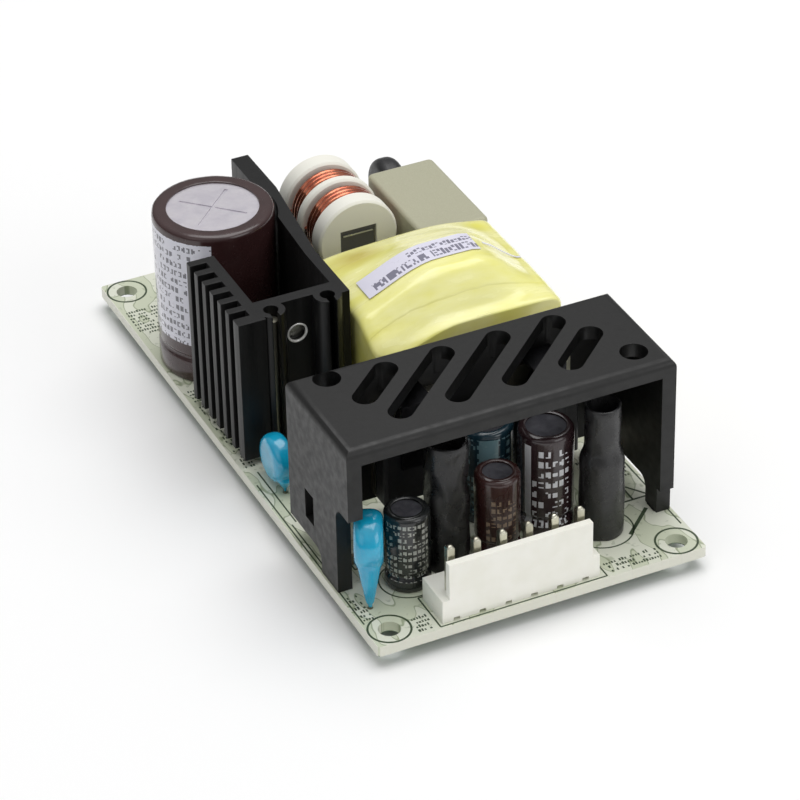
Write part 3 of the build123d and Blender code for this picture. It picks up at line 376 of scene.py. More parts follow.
class Palette:
    """The plain finishes, each named for its piece."""

    ANODISED = Finish("anodised_black", (11, 11, 12), (17, 17, 17), 0.42, grain=Grain.UPRIGHT, size=1.2,
                      relief=0.3, specular=0.35)
    SATIN_BLACK = Finish("satin_black", (12, 12, 12), (16, 16, 15), 0.46, grain=Grain.SPECKS, size=1.4,
                         relief=0.12, specular=0.46)
    CAN = Finish("bare_can", (226, 222, 228), (200, 196, 204), 0.42, grain=Grain.CLOUDS, size=3.0,
                 metallic=0.75)
    # Darker copy of the bare can: painted shade on the tops of cans under dark parts.
    SHADED_CAN = Finish("can_painted_shade", (96, 96, 102), (72, 72, 78), 0.4, size=1.5, metallic=0.9)
    TINNED = Finish("tinned_wire", (206, 204, 188), (172, 169, 152), 0.3, grain=Grain.UPRIGHT, metallic=1.0)
    SOLDER = Finish("solder", (205, 206, 204), (170, 171, 172), 0.24, size=0.8, metallic=1.0)
    # Near-white metal for the tapped hole's rim: partly its bare metal colour, partly a painted highlight.
    BARE_RIM_HIGHLIGHT = Finish("bare_rim_painted_highlight", (236, 236, 232), (206, 206, 202), 0.25, size=0.7, metallic=0.2, coat=0.4)
    ZINC = Finish("zinc_plate", (205, 205, 198), (178, 178, 170), 0.3, size=1.0, metallic=1.0)
    SPRING = Finish("spring_steel", (64, 64, 67), (50, 50, 52), 0.4, size=1.0, metallic=1.0)
    PACKAGE = Finish("moulded_black", (34, 34, 36), (44, 44, 46), 0.55, grain=Grain.SPECKS, size=0.8,
                     relief=0.3)
    PAD = Finish("heat_pad", (128, 138, 150), (112, 122, 134), 0.8, grain=Grain.SPECKS, size=0.6)
    CREAM = Finish("bobbin_cream", (230, 222, 184), (204, 192, 148), 0.42, size=3.0, relief=0.12)
    FERRITE = Finish("ferrite", (18, 18, 20), (30, 30, 33), 0.45, grain=Grain.SPECKS, size=0.8, relief=0.35)
    COPPER = Finish("enamelled_copper", (214, 128, 92), (170, 78, 48), 0.16, 0.05, size=1.6, metallic=0.9,
                    coat=0.9)
    # Darker copy of the copper: painted shade on the layer below the wire.
    COPPER_SHADE = Finish("inner_copper_painted_shade", (92, 40, 26), (70, 28, 18), 0.4, size=1.6, metallic=0.4)
    GREY_BOX = Finish("moulded_grey", (178, 177, 154), (168, 166, 142), 0.5, grain=Grain.SPECKS, size=1.0)
    BLUE_DIP = Finish("blue_dip", (12, 156, 196), (26, 172, 210), 0.16, 0.05, size=2.4, relief=0.25, coat=0.8)
    BLACK_DIP = Finish("black_dip", (30, 30, 32), (42, 42, 44), 0.4, size=1.6, relief=0.4)
    TAPE = Finish("inner_tape", (224, 210, 96), (208, 190, 78), 0.3, size=2.0, coat=0.3)
    MOULDED_BLACK = Finish("bobbin_black", (28, 28, 30), (38, 38, 40), 0.5, grain=Grain.SPECKS, size=0.9)
    WHITE_NYLON = Finish("nylon_white", (252, 251, 242), (248, 247, 236), 0.42, size=3.0, relief=0.1)
    SHRUNK = Finish("heat_shrunk", (14, 14, 15), (24, 24, 26), 0.32, 0.1, size=1.1, relief=0.8, coat=0.25)
    COUPLER = Finish("coupler_white", (214, 212, 200), (202, 199, 186), 0.6, grain=Grain.SPECKS, size=0.8)
    FILM = Finish("film_red", (128, 40, 32), (112, 32, 28), 0.4, size=2.0)
    CHIP = Finish("chip_ceramic", (150, 136, 112), (132, 118, 96), 0.6, grain=Grain.SPECKS, size=0.4)


class Form:
    """A mesh under construction, in metres in the row frame."""

    def __init__(self) -> None:
        """Starts an empty mesh."""
        self.bm = bmesh.new()

    @classmethod
    def of_node(cls, node: str) -> "Form":
        """Starts from a CAD node's solid, joined up and with its flat faces whole.

        Args:
            node: The node's name.

        Returns:
            The new form.
        """
        form = cls()
        shown = bpy.data.objects[node] if node in bpy.data.objects else Frame.nodes[node]
        form.bm.from_mesh(shown.data)
        form.bm.transform(shown.matrix_world)
        bmesh.ops.remove_doubles(form.bm, verts=form.bm.verts, dist=0.002 * MM)
        bmesh.ops.dissolve_limit(form.bm, angle_limit=math.radians(0.6), verts=form.bm.verts,
                                 edges=form.bm.edges)
        return form

    def keep(self, point: Vector, normal: Vector) -> "Form":
        """Cuts away what lies on a plane's far side and closes the cut.

        Args:
            point: Point on the plane.
            normal: Direction of the side that goes.

        Returns:
            The form.
        """
        geometry = list(self.bm.verts) + list(self.bm.edges) + list(self.bm.faces)
        cut = bmesh.ops.bisect_plane(self.bm, geom=geometry, plane_co=point, plane_no=normal,
                                     clear_outer=True)
        edges = [e for e in cut["geom_cut"] if isinstance(e, bmesh.types.BMEdge)]
        bmesh.ops.holes_fill(self.bm, edges=edges, sides=0)
        return self

    def soften(self, width: float, segments: int = 2, angle: float = 40.0) -> "Form":
        """Bevels every edge that is sharper than an angle.

        Args:
            width: Width of the bevel in millimetres.
            segments: Steps round the bevel.
            angle: Least angle between faces, in degrees.

        Returns:
            The form.
        """
        limit = math.radians(angle)
        sharp = [e for e in self.bm.edges if e.is_manifold and e.calc_face_angle(0.0) > limit]
        bmesh.ops.bevel(self.bm, geom=sharp, offset=width * MM, offset_type="OFFSET", segments=segments,
                        profile=0.5, affect="EDGES", clamp_overlap=True, material=-1)
        return self

    def turn(self, profile: Sequence[tuple[float, float]], place: Matrix, steps: int = 48) -> "Form":
        """Turns a chain of radius and height points round the local Z axis.

        Args:
            profile: Radius and height pairs in millimetres.
            place: Where the local frame lies.
            steps: Faces round the axis.

        Returns:
            The form.
        """
        chain = [self.bm.verts.new(place @ (Vector((radius, 0, height)) * MM)) for radius, height in profile]
        edges = [self.bm.edges.new(pair) for pair in zip(chain, chain[1:])]
        axis = place.to_3x3() @ Vector((0, 0, 1))
        bmesh.ops.spin(self.bm, geom=chain + edges, cent=place.translation, axis=axis, angle=math.tau,
                       steps=steps, use_merge=True, use_duplicate=False)
        bmesh.ops.remove_doubles(self.bm, verts=self.bm.verts, dist=0.001 * MM)
        return self

    def tube(self, path: Sequence[Vector], radius: float, sides: int = 8) -> "Form":
        """Runs a round section along a path.

        Args:
            path: Points in metres.
            radius: Radius in millimetres.
            sides: Faces round the section.

        Returns:
            The form.
        """
        heading = (path[1] - path[0]).normalized()
        matrix = Matrix.LocRotScale(path[0], Vector((0, 0, 1)).rotation_difference(heading), None)
        made = bmesh.ops.create_circle(self.bm, cap_ends=True, segments=sides, radius=radius * MM,
                                       matrix=matrix)
        ring = set(made["verts"])
        edges = [e for e in {e for v in ring for e in v.link_edges} if set(e.verts) <= ring]
        for number in range(1, len(path)):
            grown = bmesh.ops.extrude_edge_only(self.bm, edges=edges)["geom"]
            ring = {v for v in grown if isinstance(v, bmesh.types.BMVert)}
            edges = [e for e in grown if isinstance(e, bmesh.types.BMEdge) and set(e.verts) <= ring]
            bmesh.ops.translate(self.bm, verts=list(ring), vec=path[number] - path[number - 1])
            if number + 1 < len(path):
                onward = (path[number + 1] - path[number]).normalized()
                bend = heading.rotation_difference(onward).to_matrix()
                bmesh.ops.rotate(self.bm, verts=list(ring), cent=path[number], matrix=bend)
                heading = onward
        bmesh.ops.holes_fill(self.bm, edges=edges, sides=0)
        return self

    def strip(self, chain: Sequence[Vector], across: Vector, thickness: float) -> "Form":
        """Draws a chain of points out sideways into a thin sheet.

        Args:
            chain: Points in metres.
            across: How far the sheet goes, in metres.
            thickness: Thickness in millimetres.

        Returns:
            The form.
        """
        verts = [self.bm.verts.new(point) for point in chain]
        edges = [self.bm.edges.new(pair) for pair in zip(verts, verts[1:])]
        grown = bmesh.ops.extrude_edge_only(self.bm, edges=edges)["geom"]
        far = [v for v in grown if isinstance(v, bmesh.types.BMVert)]
        bmesh.ops.translate(self.bm, verts=far, vec=across)
        faces = [f for f in grown if isinstance(f, bmesh.types.BMFace)]
        bmesh.ops.recalc_face_normals(self.bm, faces=faces)
        bmesh.ops.solidify(self.bm, geom=faces, thickness=thickness * MM)
        return self

    def ripple(self, height: float, size: float, stretch: Sequence[float] = (1, 1, 1)) -> "Form":
        """Moves the surface in and out by soft noise.

        Args:
            height: Greatest move in millimetres.
            size: Size of the waves in millimetres.
            stretch: Factor on each axis of the noise.

        Returns:
            The form.
        """
        self.bm.normal_update()
        factors = Vector(stretch) / (size * MM)
        moves = [(v, v.normal * (noise.noise(v.co * factors) * height * MM)) for v in self.bm.verts]
        for vert, move in moves:
            vert.co += move
        return self

    @classmethod
    def rounded(cls, node: str, width: float, name: str, finish: Finish, slot: str,
                segments: int = 2) -> None:
        """Builds a piece from one CAD node, with its edges bevelled and its flat faces kept flat.

        Args:
            node: The node's name.
            width: Width of the bevel in millimetres.
            name: The piece's name.
            finish: Its finish.
            slot: Its material slot.
            segments: Steps round the bevel.
        """
        form = cls.of_node(node).soften(width, segments)
        form.piece(name, finish.material(), slot, [node], even=True)

    def piece(self, name: str, material: bpy.types.Material, slot: str, replaces: Iterable[str] = (),
              smooth: float = 35.0, even: bool = False) -> bpy.types.Object:
        """Makes the form an object that belongs to the part.

        Args:
            name: The object's name.
            material: Its material.
            slot: Material slot name; not used.
            replaces: CAD nodes that it stands for.
            smooth: Edges below this angle are shaded smooth, in degrees.
            even: Whether broad flat faces lead the shading of their soft edges.

        Returns:
            The new object.
        """
        bmesh.ops.recalc_face_normals(self.bm, faces=self.bm.faces)
        limit = math.radians(smooth)
        for face in self.bm.faces:
            face.smooth = True
        for edge in self.bm.edges:
            edge.smooth = edge.calc_face_angle(0.0) < limit
        mesh = bpy.data.meshes.new(name)
        self.bm.to_mesh(mesh)
        self.bm.free()
        mesh.materials.append(material)
        made = placed(name, mesh)
        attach(made, "root")
        if even:
            weighted = made.modifiers.new("flat faces lead", "WEIGHTED_NORMAL")
            weighted.keep_sharp = True
            weighted.weight = 100
        replaced = list(replaces)
        if replaced:
            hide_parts(*replaced)
        LOG.info("%s: %d faces", name, len(mesh.polygons))
        return made


class Frame:
    """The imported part's nodes."""

    nodes: dict[str, bpy.types.Object] = {}

    @classmethod
    def load(cls) -> None:
        """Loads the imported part."""
        cls.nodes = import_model()["nodes"]

    @classmethod
    def dress(cls, names: Sequence[str], material: bpy.types.Material) -> None:
        """Gives CAD nodes a material.

        Args:
            names: The nodes' names.
            material: The material.
        """
        for name in names:
            data = cls.nodes[name].data
            data.materials.clear()
            data.materials.append(material)


class Print(Enum):
    """What is printed on a capacitor's sleeve."""

    LABEL = "white label with rows of marks"
    ROWS = "rows of pale marks"
    STRIPE = "pale stripe with marks"


@dataclass(frozen=True)
class SleeveInk:
    """Colours and print of one capacitor's sleeve.

    Args:
        name: Material name.
        base: Sleeve colour.
        ink: Print colour.
        kind: What is printed.
        middle: Direction that the print's middle faces, in degrees from +X.
        spread: Half of the print's width, in degrees.
        row: Height of a row of marks in millimetres.
        mark: Width of a mark in millimetres.
        low: Lowest printed height in millimetres above the board.
        high: Highest printed height.
        stripe: Middle and half width of a plain stripe beside the print, in degrees from +X.
    """

    name: str
    base: Colour
    ink: Colour
    kind: Print
    middle: float
    spread: float
    row: float
    mark: float
    low: float
    high: float
    stripe: tuple[float, float] = (0.0, 0.0)

    def material(self, x: float, y: float, radius: float) -> bpy.types.Material:
        """Builds the sleeve's material round its axis.

        Args:
            x: Axis from the board's left edge.
            y: Axis from the board's front edge.
            radius: Radius in millimetres.

        Returns:
            The material.
        """
        paint = Paint(self.name)
        place = paint.place()
        foot = at(x, y)
        px, py, pz = paint.axes(place)
        swing = math.radians(self.middle)
        across = (px - foot.x) * -math.sin(swing) + (py - foot.y) * math.cos(swing)
        towards = (px - foot.x) * math.cos(swing) + (py - foot.y) * math.sin(swing)
        angle = paint.math("ARCTAN2", across, towards)
        height = (pz - foot.z) / MM
        arc = angle * radius
        field_mask = (abs(angle) < math.radians(self.spread)) * height.between(self.low, self.high)
        rows = height / self.row
        marks = arc / self.mark
        cell = paint.join(marks.whole(), rows.whole(), 0.0)
        fine = paint.join((marks * 2.0).whole(), (rows * 3.0).whole(), 3.0)
        shape = rows.fraction().between(0.22, 0.82) * marks.fraction().between(0.14, 0.86)
        letters = shape * (paint.random(cell) > 0.22) * (paint.random(fine) > 0.34)
        lighter = tuple(min(c * 1.35 + 6, 255) for c in self.base)
        base = paint.mix(paint.noise(place, 260.0), self.base, lighter)
        if self.kind is Print.LABEL:
            label = paint.mix(letters * 0.85, self.ink, (70, 70, 78))
            colour = paint.mix(field_mask, base, label)
        elif self.kind is Print.STRIPE:
            stripe = (abs(angle) < math.radians(self.spread * 0.4)) * height.between(self.low, self.high)
            colour = paint.mix((field_mask * letters).either(stripe), base, self.ink)
        else:
            side, half = (math.radians(value) for value in self.stripe)
            band = (abs(angle - (side - swing)) < half) * height.between(self.low, self.high)
            colour = paint.mix((field_mask * letters * 0.85).either(band * 0.8), base, self.ink)
        gloss = paint.spread(paint.noise(place, 700.0), 0.3, 0.7, 0.14, 0.3)
        relief = paint.noise(paint.stretched(place, (1, 1, 0.3)), 900.0)
        return paint.finish(colour, gloss, relief, 0.00008, 0.25, Coat_Weight=0.4, Coat_Roughness=0.1)


@dataclass
class RoundCapacitor:
    """Aluminium can in a printed, shrunk sleeve.

    Args:
        name: Node name without its ending.
        slot: Material slot of the sleeve.
        x: Axis from the board's left edge, in millimetres.
        y: Axis from the board's front edge.
        diameter: Over the sleeve.
        height: Over the sleeve.
        lip: Width of the sleeve's turned-in rim.
        ink: Its colours and print.
        bright: Whether the can's top keeps its bare colour, or takes a darker copy of it as painted shade
            from the dark parts above it.
        groove: Depth of the seam's groove.
    """

    name: str
    slot: str
    x: float
    y: float
    diameter: float
    height: float
    lip: float
    ink: SleeveInk
    bright: bool = False
    groove: float = 0.35

    def profile(self) -> list[tuple[float, float]]:
        """Outline of the sleeve from its foot to its rim."""
        radius, top, lip = self.diameter / 2, self.height, self.lip
        seam = 0.12 * top + 1.1
        points = [(radius - lip, 0.25), (radius - lip, 0.02), (radius - 0.5, 0.0), (radius - 0.12, 0.14),
                  (radius, 0.55)]
        for step in range(9):
            share = step / 8
            dip = self.groove * math.sin(math.pi * share) ** 2
            points.append((radius - dip, seam - 0.9 + 1.8 * share))
        points += [(radius, top - 0.9), (radius - 0.07, top - 0.42), (radius - 0.3, top - 0.12),
                   (radius - 0.7, top), (radius - lip + 0.2, top), (radius - lip, top - 0.05),
                   (radius - lip, top - 0.27)]
        return points

    def build(self) -> None:
        """Builds the sleeve and dresses the can."""
        form = Form().turn(self.profile(), Matrix.Translation(at(self.x, self.y)), 64)
        form.ripple(0.04, 1.6, (1, 1, 0.5))
        material = self.ink.material(self.x, self.y, self.diameter / 2)
        form.piece(f"{self.name}_wrap", material, self.slot, [f"{self.name}_sleeve"], 50)
        # Cans that are not bright take the darker copy of the can as painted shade.
        finish = Palette.CAN if self.bright else Palette.SHADED_CAN
        Frame.dress([f"{self.name}_can"], finish.material())


@dataclass
class Heatsink:
    """Finned extrusion with its transistor.

    Args:
        tap: Place of the tapped hole: from the left, from the front, height.
        rim: Inner and outer radius of the hole's bright rim of bare metal, painted near white as a highlight.
        edge: Width of the extrusion's soft edges.
        case_edge: Width of the transistor's soft edges.
    """

    tap: tuple[float, float, float] = (10.95, 49.5, 18.7)
    rim: tuple[float, float] = (1.3, 1.62)
    edge: float = 0.14
    case_edge: float = 0.12

    def build(self) -> None:
        """Builds the extrusion and the bright rim with its painted highlight, and dresses the small pieces.
        """
        Form.rounded("primary_heatsink", self.edge, "heatsink_extrusion", Palette.ANODISED, "heatsink_black")
        inner, outer = self.rim
        x, y, z = self.tap
        place = Matrix.Translation(at(x, y, z)) @ Matrix.Rotation(math.radians(90), 4, "X")
        lip = [(inner, -0.25), (inner, 0.02), (inner + 0.1, 0.08), (outer - 0.1, 0.06), (outer, -0.02)]
        rim = Form().turn(lip, place, 40)
        # The rim is bare metal painted near white as a highlight.
        rim.piece("tap_rim", Palette.BARE_RIM_HIGHLIGHT.material(), "screw_steel", (), 60)
        Frame.dress(["heatsink_pins", "transistor_tab"], Palette.TINNED.material())
        Frame.dress(["transistor_screw"], Palette.ZINC.material())
        Frame.dress(["transistor_pad"], Palette.PAD.material())
        Form.rounded("transistor_body", self.case_edge, "transistor_case", Palette.PACKAGE, "package_black")


@dataclass
class Choke:
    """Common mode choke with wound wire on a cream bobbin.

    Args:
        x: Axis from the left edge.
        front: Front face from the front edge.
        axis: Height of the axis.
        wire: Radius of the wire.
        radius: Radius of a turn's middle.
        turns: Turns in each section.
        starts: Start of each section behind the front face.
        length: Length of a section.
        core: Inner radius of the layer below the wire.
        edge: Width of the bobbin's soft edges.
    """

    x: float = 31.0
    front: float = 72.0
    axis: float = 16.3
    wire: float = 0.48
    radius: float = 5.5
    turns: float = 3.5
    starts: tuple[float, float] = (3.1, 8.6)
    length: float = 3.9
    core: float = 4.05
    edge: float = 0.18

    def frame(self) -> Matrix:
        """Frame whose local Z runs along the choke's axis."""
        middle = Matrix.Translation(at(self.x, self.front, self.axis))
        return middle @ Matrix.Rotation(math.radians(-90), 4, "X")

    def helix(self, start: float) -> list[Vector]:
        """Path of one section's wire.

        Args:
            start: Start of the section.

        Returns:
            The path's points.
        """
        frame = self.frame()
        steps = round(self.turns * 36)
        usable = self.length - 2 * self.wire
        points = []
        for step in range(steps + 1):
            angle = math.tau * self.turns * step / steps
            along = start + self.wire + usable * step / steps
            point = Vector((self.radius * math.cos(angle), self.radius * math.sin(angle), along))
            points.append(frame @ (point * MM))
        return points

    def build(self) -> None:
        """Builds the bobbin, both windings and the clip."""
        Form.rounded("choke_bobbin", self.edge, "choke_former", Palette.CREAM, "bobbin_cream")
        copper, shade = Palette.COPPER.material(), Palette.COPPER_SHADE.material()
        for name, start in zip(("front", "rear"), self.starts):
            coil = Form().tube(self.helix(start), self.wire, 12)
            coil.piece(f"choke_coil_{name}", copper, "copper_enamel", [f"choke_winding_{name}"], 60)
            inner = self.radius - self.wire * 0.9
            near, far = start + 0.06, start + self.length - 0.06
            section = [(self.core, near), (inner, near), (inner, far), (self.core, far)]
            # The layer below the wire takes the darker copper copy as painted shade between the turns.
            layer = Form().turn(section, self.frame(), 48)
            layer.piece(f"choke_layer_{name}", shade, "copper_enamel", (), 60)
        ends = [at(self.x + side * 2.4, self.front + 0.3, self.axis + 0.9) for side in (-1, 1)]
        clip = Form().tube(ends, 0.16, 8)
        clip.piece("core_clip", Palette.ZINC.material(), "ferrite")
        Frame.dress(["choke_core"], Palette.FERRITE.material())
        Frame.dress(["choke_pins"], Palette.TINNED.material())


@dataclass
class Transformer:
    """Transformer wrapped in yellow tape, with a label over its arch.

    Args:
        sections: From the front edge, peak, left and right shoulder, and step of the left side.
        ends: Distance from an end and size of the outline there, for the rounded ends.
        left: Left side from the board's left edge.
        right: Right side from the board's left edge.
        foot: Height of the wrap's lower edge.
        label: Front and rear edge of the label, from the front edge.
        patches: A patch of painted shade at the rear-left shoulder and a more saturated tape tab: from the
            left edge, from the front edge, size and colour.
    """

    sections: tuple[tuple[float, ...], ...] = (
        (40.6, 19.3, 16.8, 18.9, 2.4), (42.6, 19.8, 17.4, 19.1, 0.2), (47.6, 24.6, 20.6, 19.3, 0.0),
        (54.0, 24.6, 20.6, 19.3, 0.0), (64.6, 20.4, 19.9, 19.2, 0.0))
    ends: tuple[tuple[float, float], ...] = ((0.02, 0.975), (0.1, 0.988), (0.3, 0.996), (0.6, 1.0))
    left: float = 19.62
    right: float = 48.98
    foot: float = 4.3
    label: tuple[float, float] = (49.7, 54.4)
    # First patch: painted shade at the rear-left shoulder; second: a more saturated tape tab.
    patches: tuple[tuple[float, float, float, Colour], ...] = (
        (25.5, 61.0, 4.0, (188, 166, 44)), (46.0, 62.5, 2.6, (232, 226, 70)))

    def section(self, y: float) -> list[float]:
        """Peak, shoulders and step at one place, read between the given sections.

        Args:
            y: From the front edge.

        Returns:
            The four values.
        """
        first, last = self.sections[0][0], self.sections[-1][0]
        inside = min(max(y, first), last)
        for near, far in zip(self.sections, self.sections[1:]):
            if inside <= far[0]:
                share = (inside - near[0]) / (far[0] - near[0])
                return [a + (b - a) * share for a, b in zip(near[1:], far[1:])]
        return list(self.sections[-1][1:])

    def outline(self, y: float) -> list[tuple[float, float]]:
        """Outline across the wrap at one place, with its corners cut round.

        Args:
            y: From the front edge.

        Returns:
            From the left edge and height pairs, from the left foot over the top to the right foot.
        """
        near, here, far = self.section(y - 0.5), self.section(y), self.section(y + 0.5)
        peak, left_top, right_top, step = ((a + b + c) / 3 for a, b, c in zip(near, here, far))
        left, right = self.left + step, self.right
        points = [
            (left, self.foot), (left, 9.0), (left, left_top - 2.4), (left, left_top - 1.2),
            (left + 1.0, left_top - 0.5), (left + 2.8, left_top + 0.1),
            (30.5, peak - 0.1), (35.5, peak), (41.0, peak - 0.1),
            (right - 2.2, right_top + 0.3), (right - 0.8, right_top), (right, right_top - 0.8),
            (right, right_top - 2.0), (right, 9.0), (right, self.foot),
        ]
        for _ in range(2):
            smoothed = [points[0]]
            for (ax, az), (bx, bz) in zip(points, points[1:]):
                smoothed.append((ax * 0.75 + bx * 0.25, az * 0.75 + bz * 0.25))
                smoothed.append((ax * 0.25 + bx * 0.75, az * 0.25 + bz * 0.75))
            points = smoothed + [points[-1]]
        return points

    def ring(self, y: float) -> list[Vector]:
        """Outline at one place as points, drawn in a little at the wrap's ends.

        Args:
            y: From the front edge.

        Returns:
            The points.
        """
        first, last = self.sections[0][0], self.sections[-1][0]
        reach = min(y - first, last - y)
        factor = next((size for distance, size in self.ends if reach <= distance + 0.001), 1.0)
        middle = (self.left + self.right) / 2
        return [at(middle + (x - middle) * factor, y, self.foot + (z - self.foot) * factor)
                for x, z in self.outline(y)]

    def material(self) -> bpy.types.Material:
        """Pale yellow film with its layers' edges and creases, darker towards the foot as painted shade, with
        a patch of painted shade and a tape tab.
        """
        paint = Paint("wrap_tape")
        place = paint.place()
        x, y, z = paint.axes(place)
        soft = paint.noise(paint.stretched(place, (0.5, 1.6, 1.0)), 190.0, 4.0)
        bend = paint.noise(place, 60.0)
        layers = ((y / MM + bend * 3.0) / 5.2).fraction()
        edge = paint.spread(layers, 0.0, 0.05)
        crease = paint.noise(paint.stretched(place, (0.35, 1.0, 0.35)), 420.0, 2.0)
        pale = paint.mix(paint.spread(soft, 0.36, 0.66), (240, 236, 130), (250, 247, 176))
        # Painted shade: the yellow darkens towards the foot of the wrap.
        low = paint.spread(z / MM, 8.0, 22.0)
        colour = paint.mix(low, (222, 214, 112), pale)
        colour = paint.mix(paint.math("SUBTRACT", 1.0, edge) * 0.3, colour, (210, 200, 96))
        across = x / MM + BOARD_WIDTH / 2
        along = y / MM + BOARD_LENGTH / 2
        # Mixes in each patch: the first is painted shade, the second is a tape tab's own colour.
        for middle_x, middle_y, size, shade in self.patches:
            offset_x, offset_y = across - middle_x, along - middle_y
            distance = paint.math("SQRT", offset_x * offset_x + offset_y * offset_y * 1.8) + bend * 2.0
            colour = paint.mix(paint.spread(distance, size * 0.4, size * 1.4, 0.7, 0.0), colour, shade)
        gloss = paint.spread(soft, 0.3, 0.7, 0.12, 0.32)
        relief = edge * 0.25 + crease * 0.55 + soft * 0.5
        return paint.finish(colour, gloss, relief, 0.0003, 0.6, Coat_Weight=0.6, Coat_Roughness=0.1)

    def label_material(self) -> bpy.types.Material:
        """Pale label with two rows of bars and marks."""
        paint = Paint("wrap_label")
        place = paint.place()
        x, y, _ = paint.axes(place)
        across = (x / MM) + BOARD_WIDTH / 2
        along = (y / MM) + BOARD_LENGTH / 2
        bars = paint.random(paint.join((across * 3.6).whole(), (along * 1.2).whole(), 1.0)) > 0.42
        upper = bars * across.between(23.8, 32.5) * along.between(50.3, 51.9)
        wide = paint.random(paint.join((across * 1.7).whole(), (along * 3.0).whole(), 4.0)) > 0.3
        blocks = wide * (across * 1.7).fraction().between(0.1, 0.86)
        middle = blocks * across.between(33.2, 41.0) * along.between(50.3, 52.0)
        lower = blocks * across.between(30.0, 41.0) * along.between(52.5, 53.6)
        ink = upper.either(middle).either(lower)
        paper = paint.mix(paint.noise(place, 300.0), (232, 230, 242), (218, 216, 234))
        colour = paint.mix(ink * 0.8, paper, (74, 72, 96))
        return paint.finish(colour, paint.spread(paint.noise(place, 500.0), 0.3, 0.7, 0.26, 0.4),
                            paint.noise(place, 900.0), 0.00006, 0.2, Coat_Weight=0.3)

    def chain(self, y: float, left: float, right: float, lift: float) -> list[Vector]:
        """Points over the arch between two places across, lifted off the wrap.

        Args:
            y: From the front edge.
            left: Left end.
            right: Right end.
            lift: Millimetres off the wrap.

        Returns:
            The points.
        """
        middle = (self.left + self.right) / 2
        points = []
        for x, z in self.outline(y):
            if left <= x <= right and z > 12:
                outward = Vector((x - middle, 0, z - 4.0)).normalized()
                points.append(at(x, y, z) + outward * lift * MM)
        return points

    def wrap(self) -> Form:
        """Draws the outline out along the board, ring by ring.

        Returns:
            The form.
        """
        first, last = self.sections[0][0], self.sections[-1][0]
        places = [first + reach for reach, _ in self.ends]
        places += [first + 0.9 + (last - first - 1.8) * step / 40 for step in range(41)]
        places += [last - reach for reach, _ in reversed(self.ends)]
        form = Form()
        points = self.ring(places[0])
        face = form.bm.faces.new([form.bm.verts.new(point) for point in points])
        face.normal_update()
        if face.normal.y > 0:
            face.normal_flip()
        faces = [face]
        for y in places[1:]:
            onward = self.ring(y)
            grown = bmesh.ops.extrude_face_region(form.bm, geom=faces)["geom"]
            faces = [f for f in grown if isinstance(f, bmesh.types.BMFace)]
            for vert in (v for v in grown if isinstance(v, bmesh.types.BMVert)):
                number = min(range(len(points)), key=lambda i: (points[i] - vert.co).length_squared)
                vert.co = onward[number]
            points = onward
        return form.ripple(0.12, 4.0, (0.5, 1.2, 1.0))

    def build(self) -> None:
        """Builds the wrap and its label and dresses what they hide."""
        self.wrap().piece("tape_wrap", self.material(), "tape_yellow", ["transformer_tape"], 60)
        front, rear = self.label
        sheets = (
            ("wrap_label", 21.8, 41.6, front, rear, 0.2),
            ("label_edge", 41.2, 48.0, front + 2.2, front + 2.6, 0.18),
        )
        for name, left, right, start, end, lift in sheets:
            across = Vector((0, (end - start) * MM, 0))
            sheet = Form().strip(self.chain(start, left, right, lift), across, 0.06)
            sheet.piece(name, self.label_material(), "tape_yellow", (), 60)
        Frame.dress(["transformer_core_front", "transformer_core_rear"], Palette.FERRITE.material())
        Frame.dress(["transformer_winding"], Palette.TAPE.material())
        Frame.dress(["transformer_former", "transformer_base"], Palette.MOULDED_BLACK.material())
        Frame.dress(["transformer_pins"], Palette.TINNED.material())


@dataclass
class OutputBracket:
    """Folded, slotted sheet with the rectifiers behind it.

    Args:
        edge: Width of the sheet's soft edges in millimetres.
        case_edge: Width of the rectifiers' soft edges.
    """

    edge: float = 0.22
    case_edge: float = 0.12

    def build(self) -> None:
        """Builds the sheet with soft edges, and the rectifiers' cases."""
        Form.rounded("output_bracket", self.edge, "bracket_sheet", Palette.SATIN_BLACK, "bracket_black")
        for side in ("left", "right"):
            Form.rounded(f"rectifier_{side}_body", self.case_edge, f"rectifier_{side}_case", Palette.PACKAGE,
                         "package_black")
            Frame.dress([f"rectifier_{side}_tab"], Palette.TINNED.material())
        Frame.dress(["rectifier_clips"], Palette.SPRING.material())


@dataclass
class DippedDisc:
    """Disc part with a dipped, glossy coating that runs down its leads.

    Args:
        node: The CAD node.
        finish: Its coating.
        slot: Its material slot.
        turn: Direction of the disc's plane, in degrees from +X.
        fuller: Factor on its thickness, for a coating thicker than the bare disc.
        grid: Size of the cells that the coating is built from, in millimetres.
    """

    node: str
    finish: Finish
    slot: str
    turn: float = 90.0
    fuller: float = 1.0
    grid: float = 0.2

    def build(self) -> None:
        """Builds the coating above the board and the leads below."""
        level = at(0, 0, 0.02)
        body = Form.of_node(self.node).keep(level, Vector((0, 0, -1)))
        low, high = span(v.co for v in body.bm.verts)
        middle = (low + high) / 2
        swing = Matrix.Rotation(math.radians(-self.turn), 4, "Z") @ Matrix.Translation(-middle)
        bmesh.ops.scale(body.bm, verts=body.bm.verts, vec=(1.0, self.fuller, 1.0), space=swing)
        coat = body.piece(f"{self.node}_coating", self.finish.material(), self.slot, [self.node], 180)
        remesh = coat.modifiers.new("even cells", "REMESH")
        remesh.mode = "VOXEL"
        remesh.voxel_size = self.grid * MM
        remesh.use_smooth_shade = True
        smooth = coat.modifiers.new("dipped", "SMOOTH")
        smooth.factor = 0.5
        smooth.iterations = 8
        leads = Form.of_node(self.node).keep(at(0, 0, 0.2), Vector((0, 0, 1)))
        leads.piece(f"{self.node}_leads", Palette.TINNED.material(), "tinned_metal")


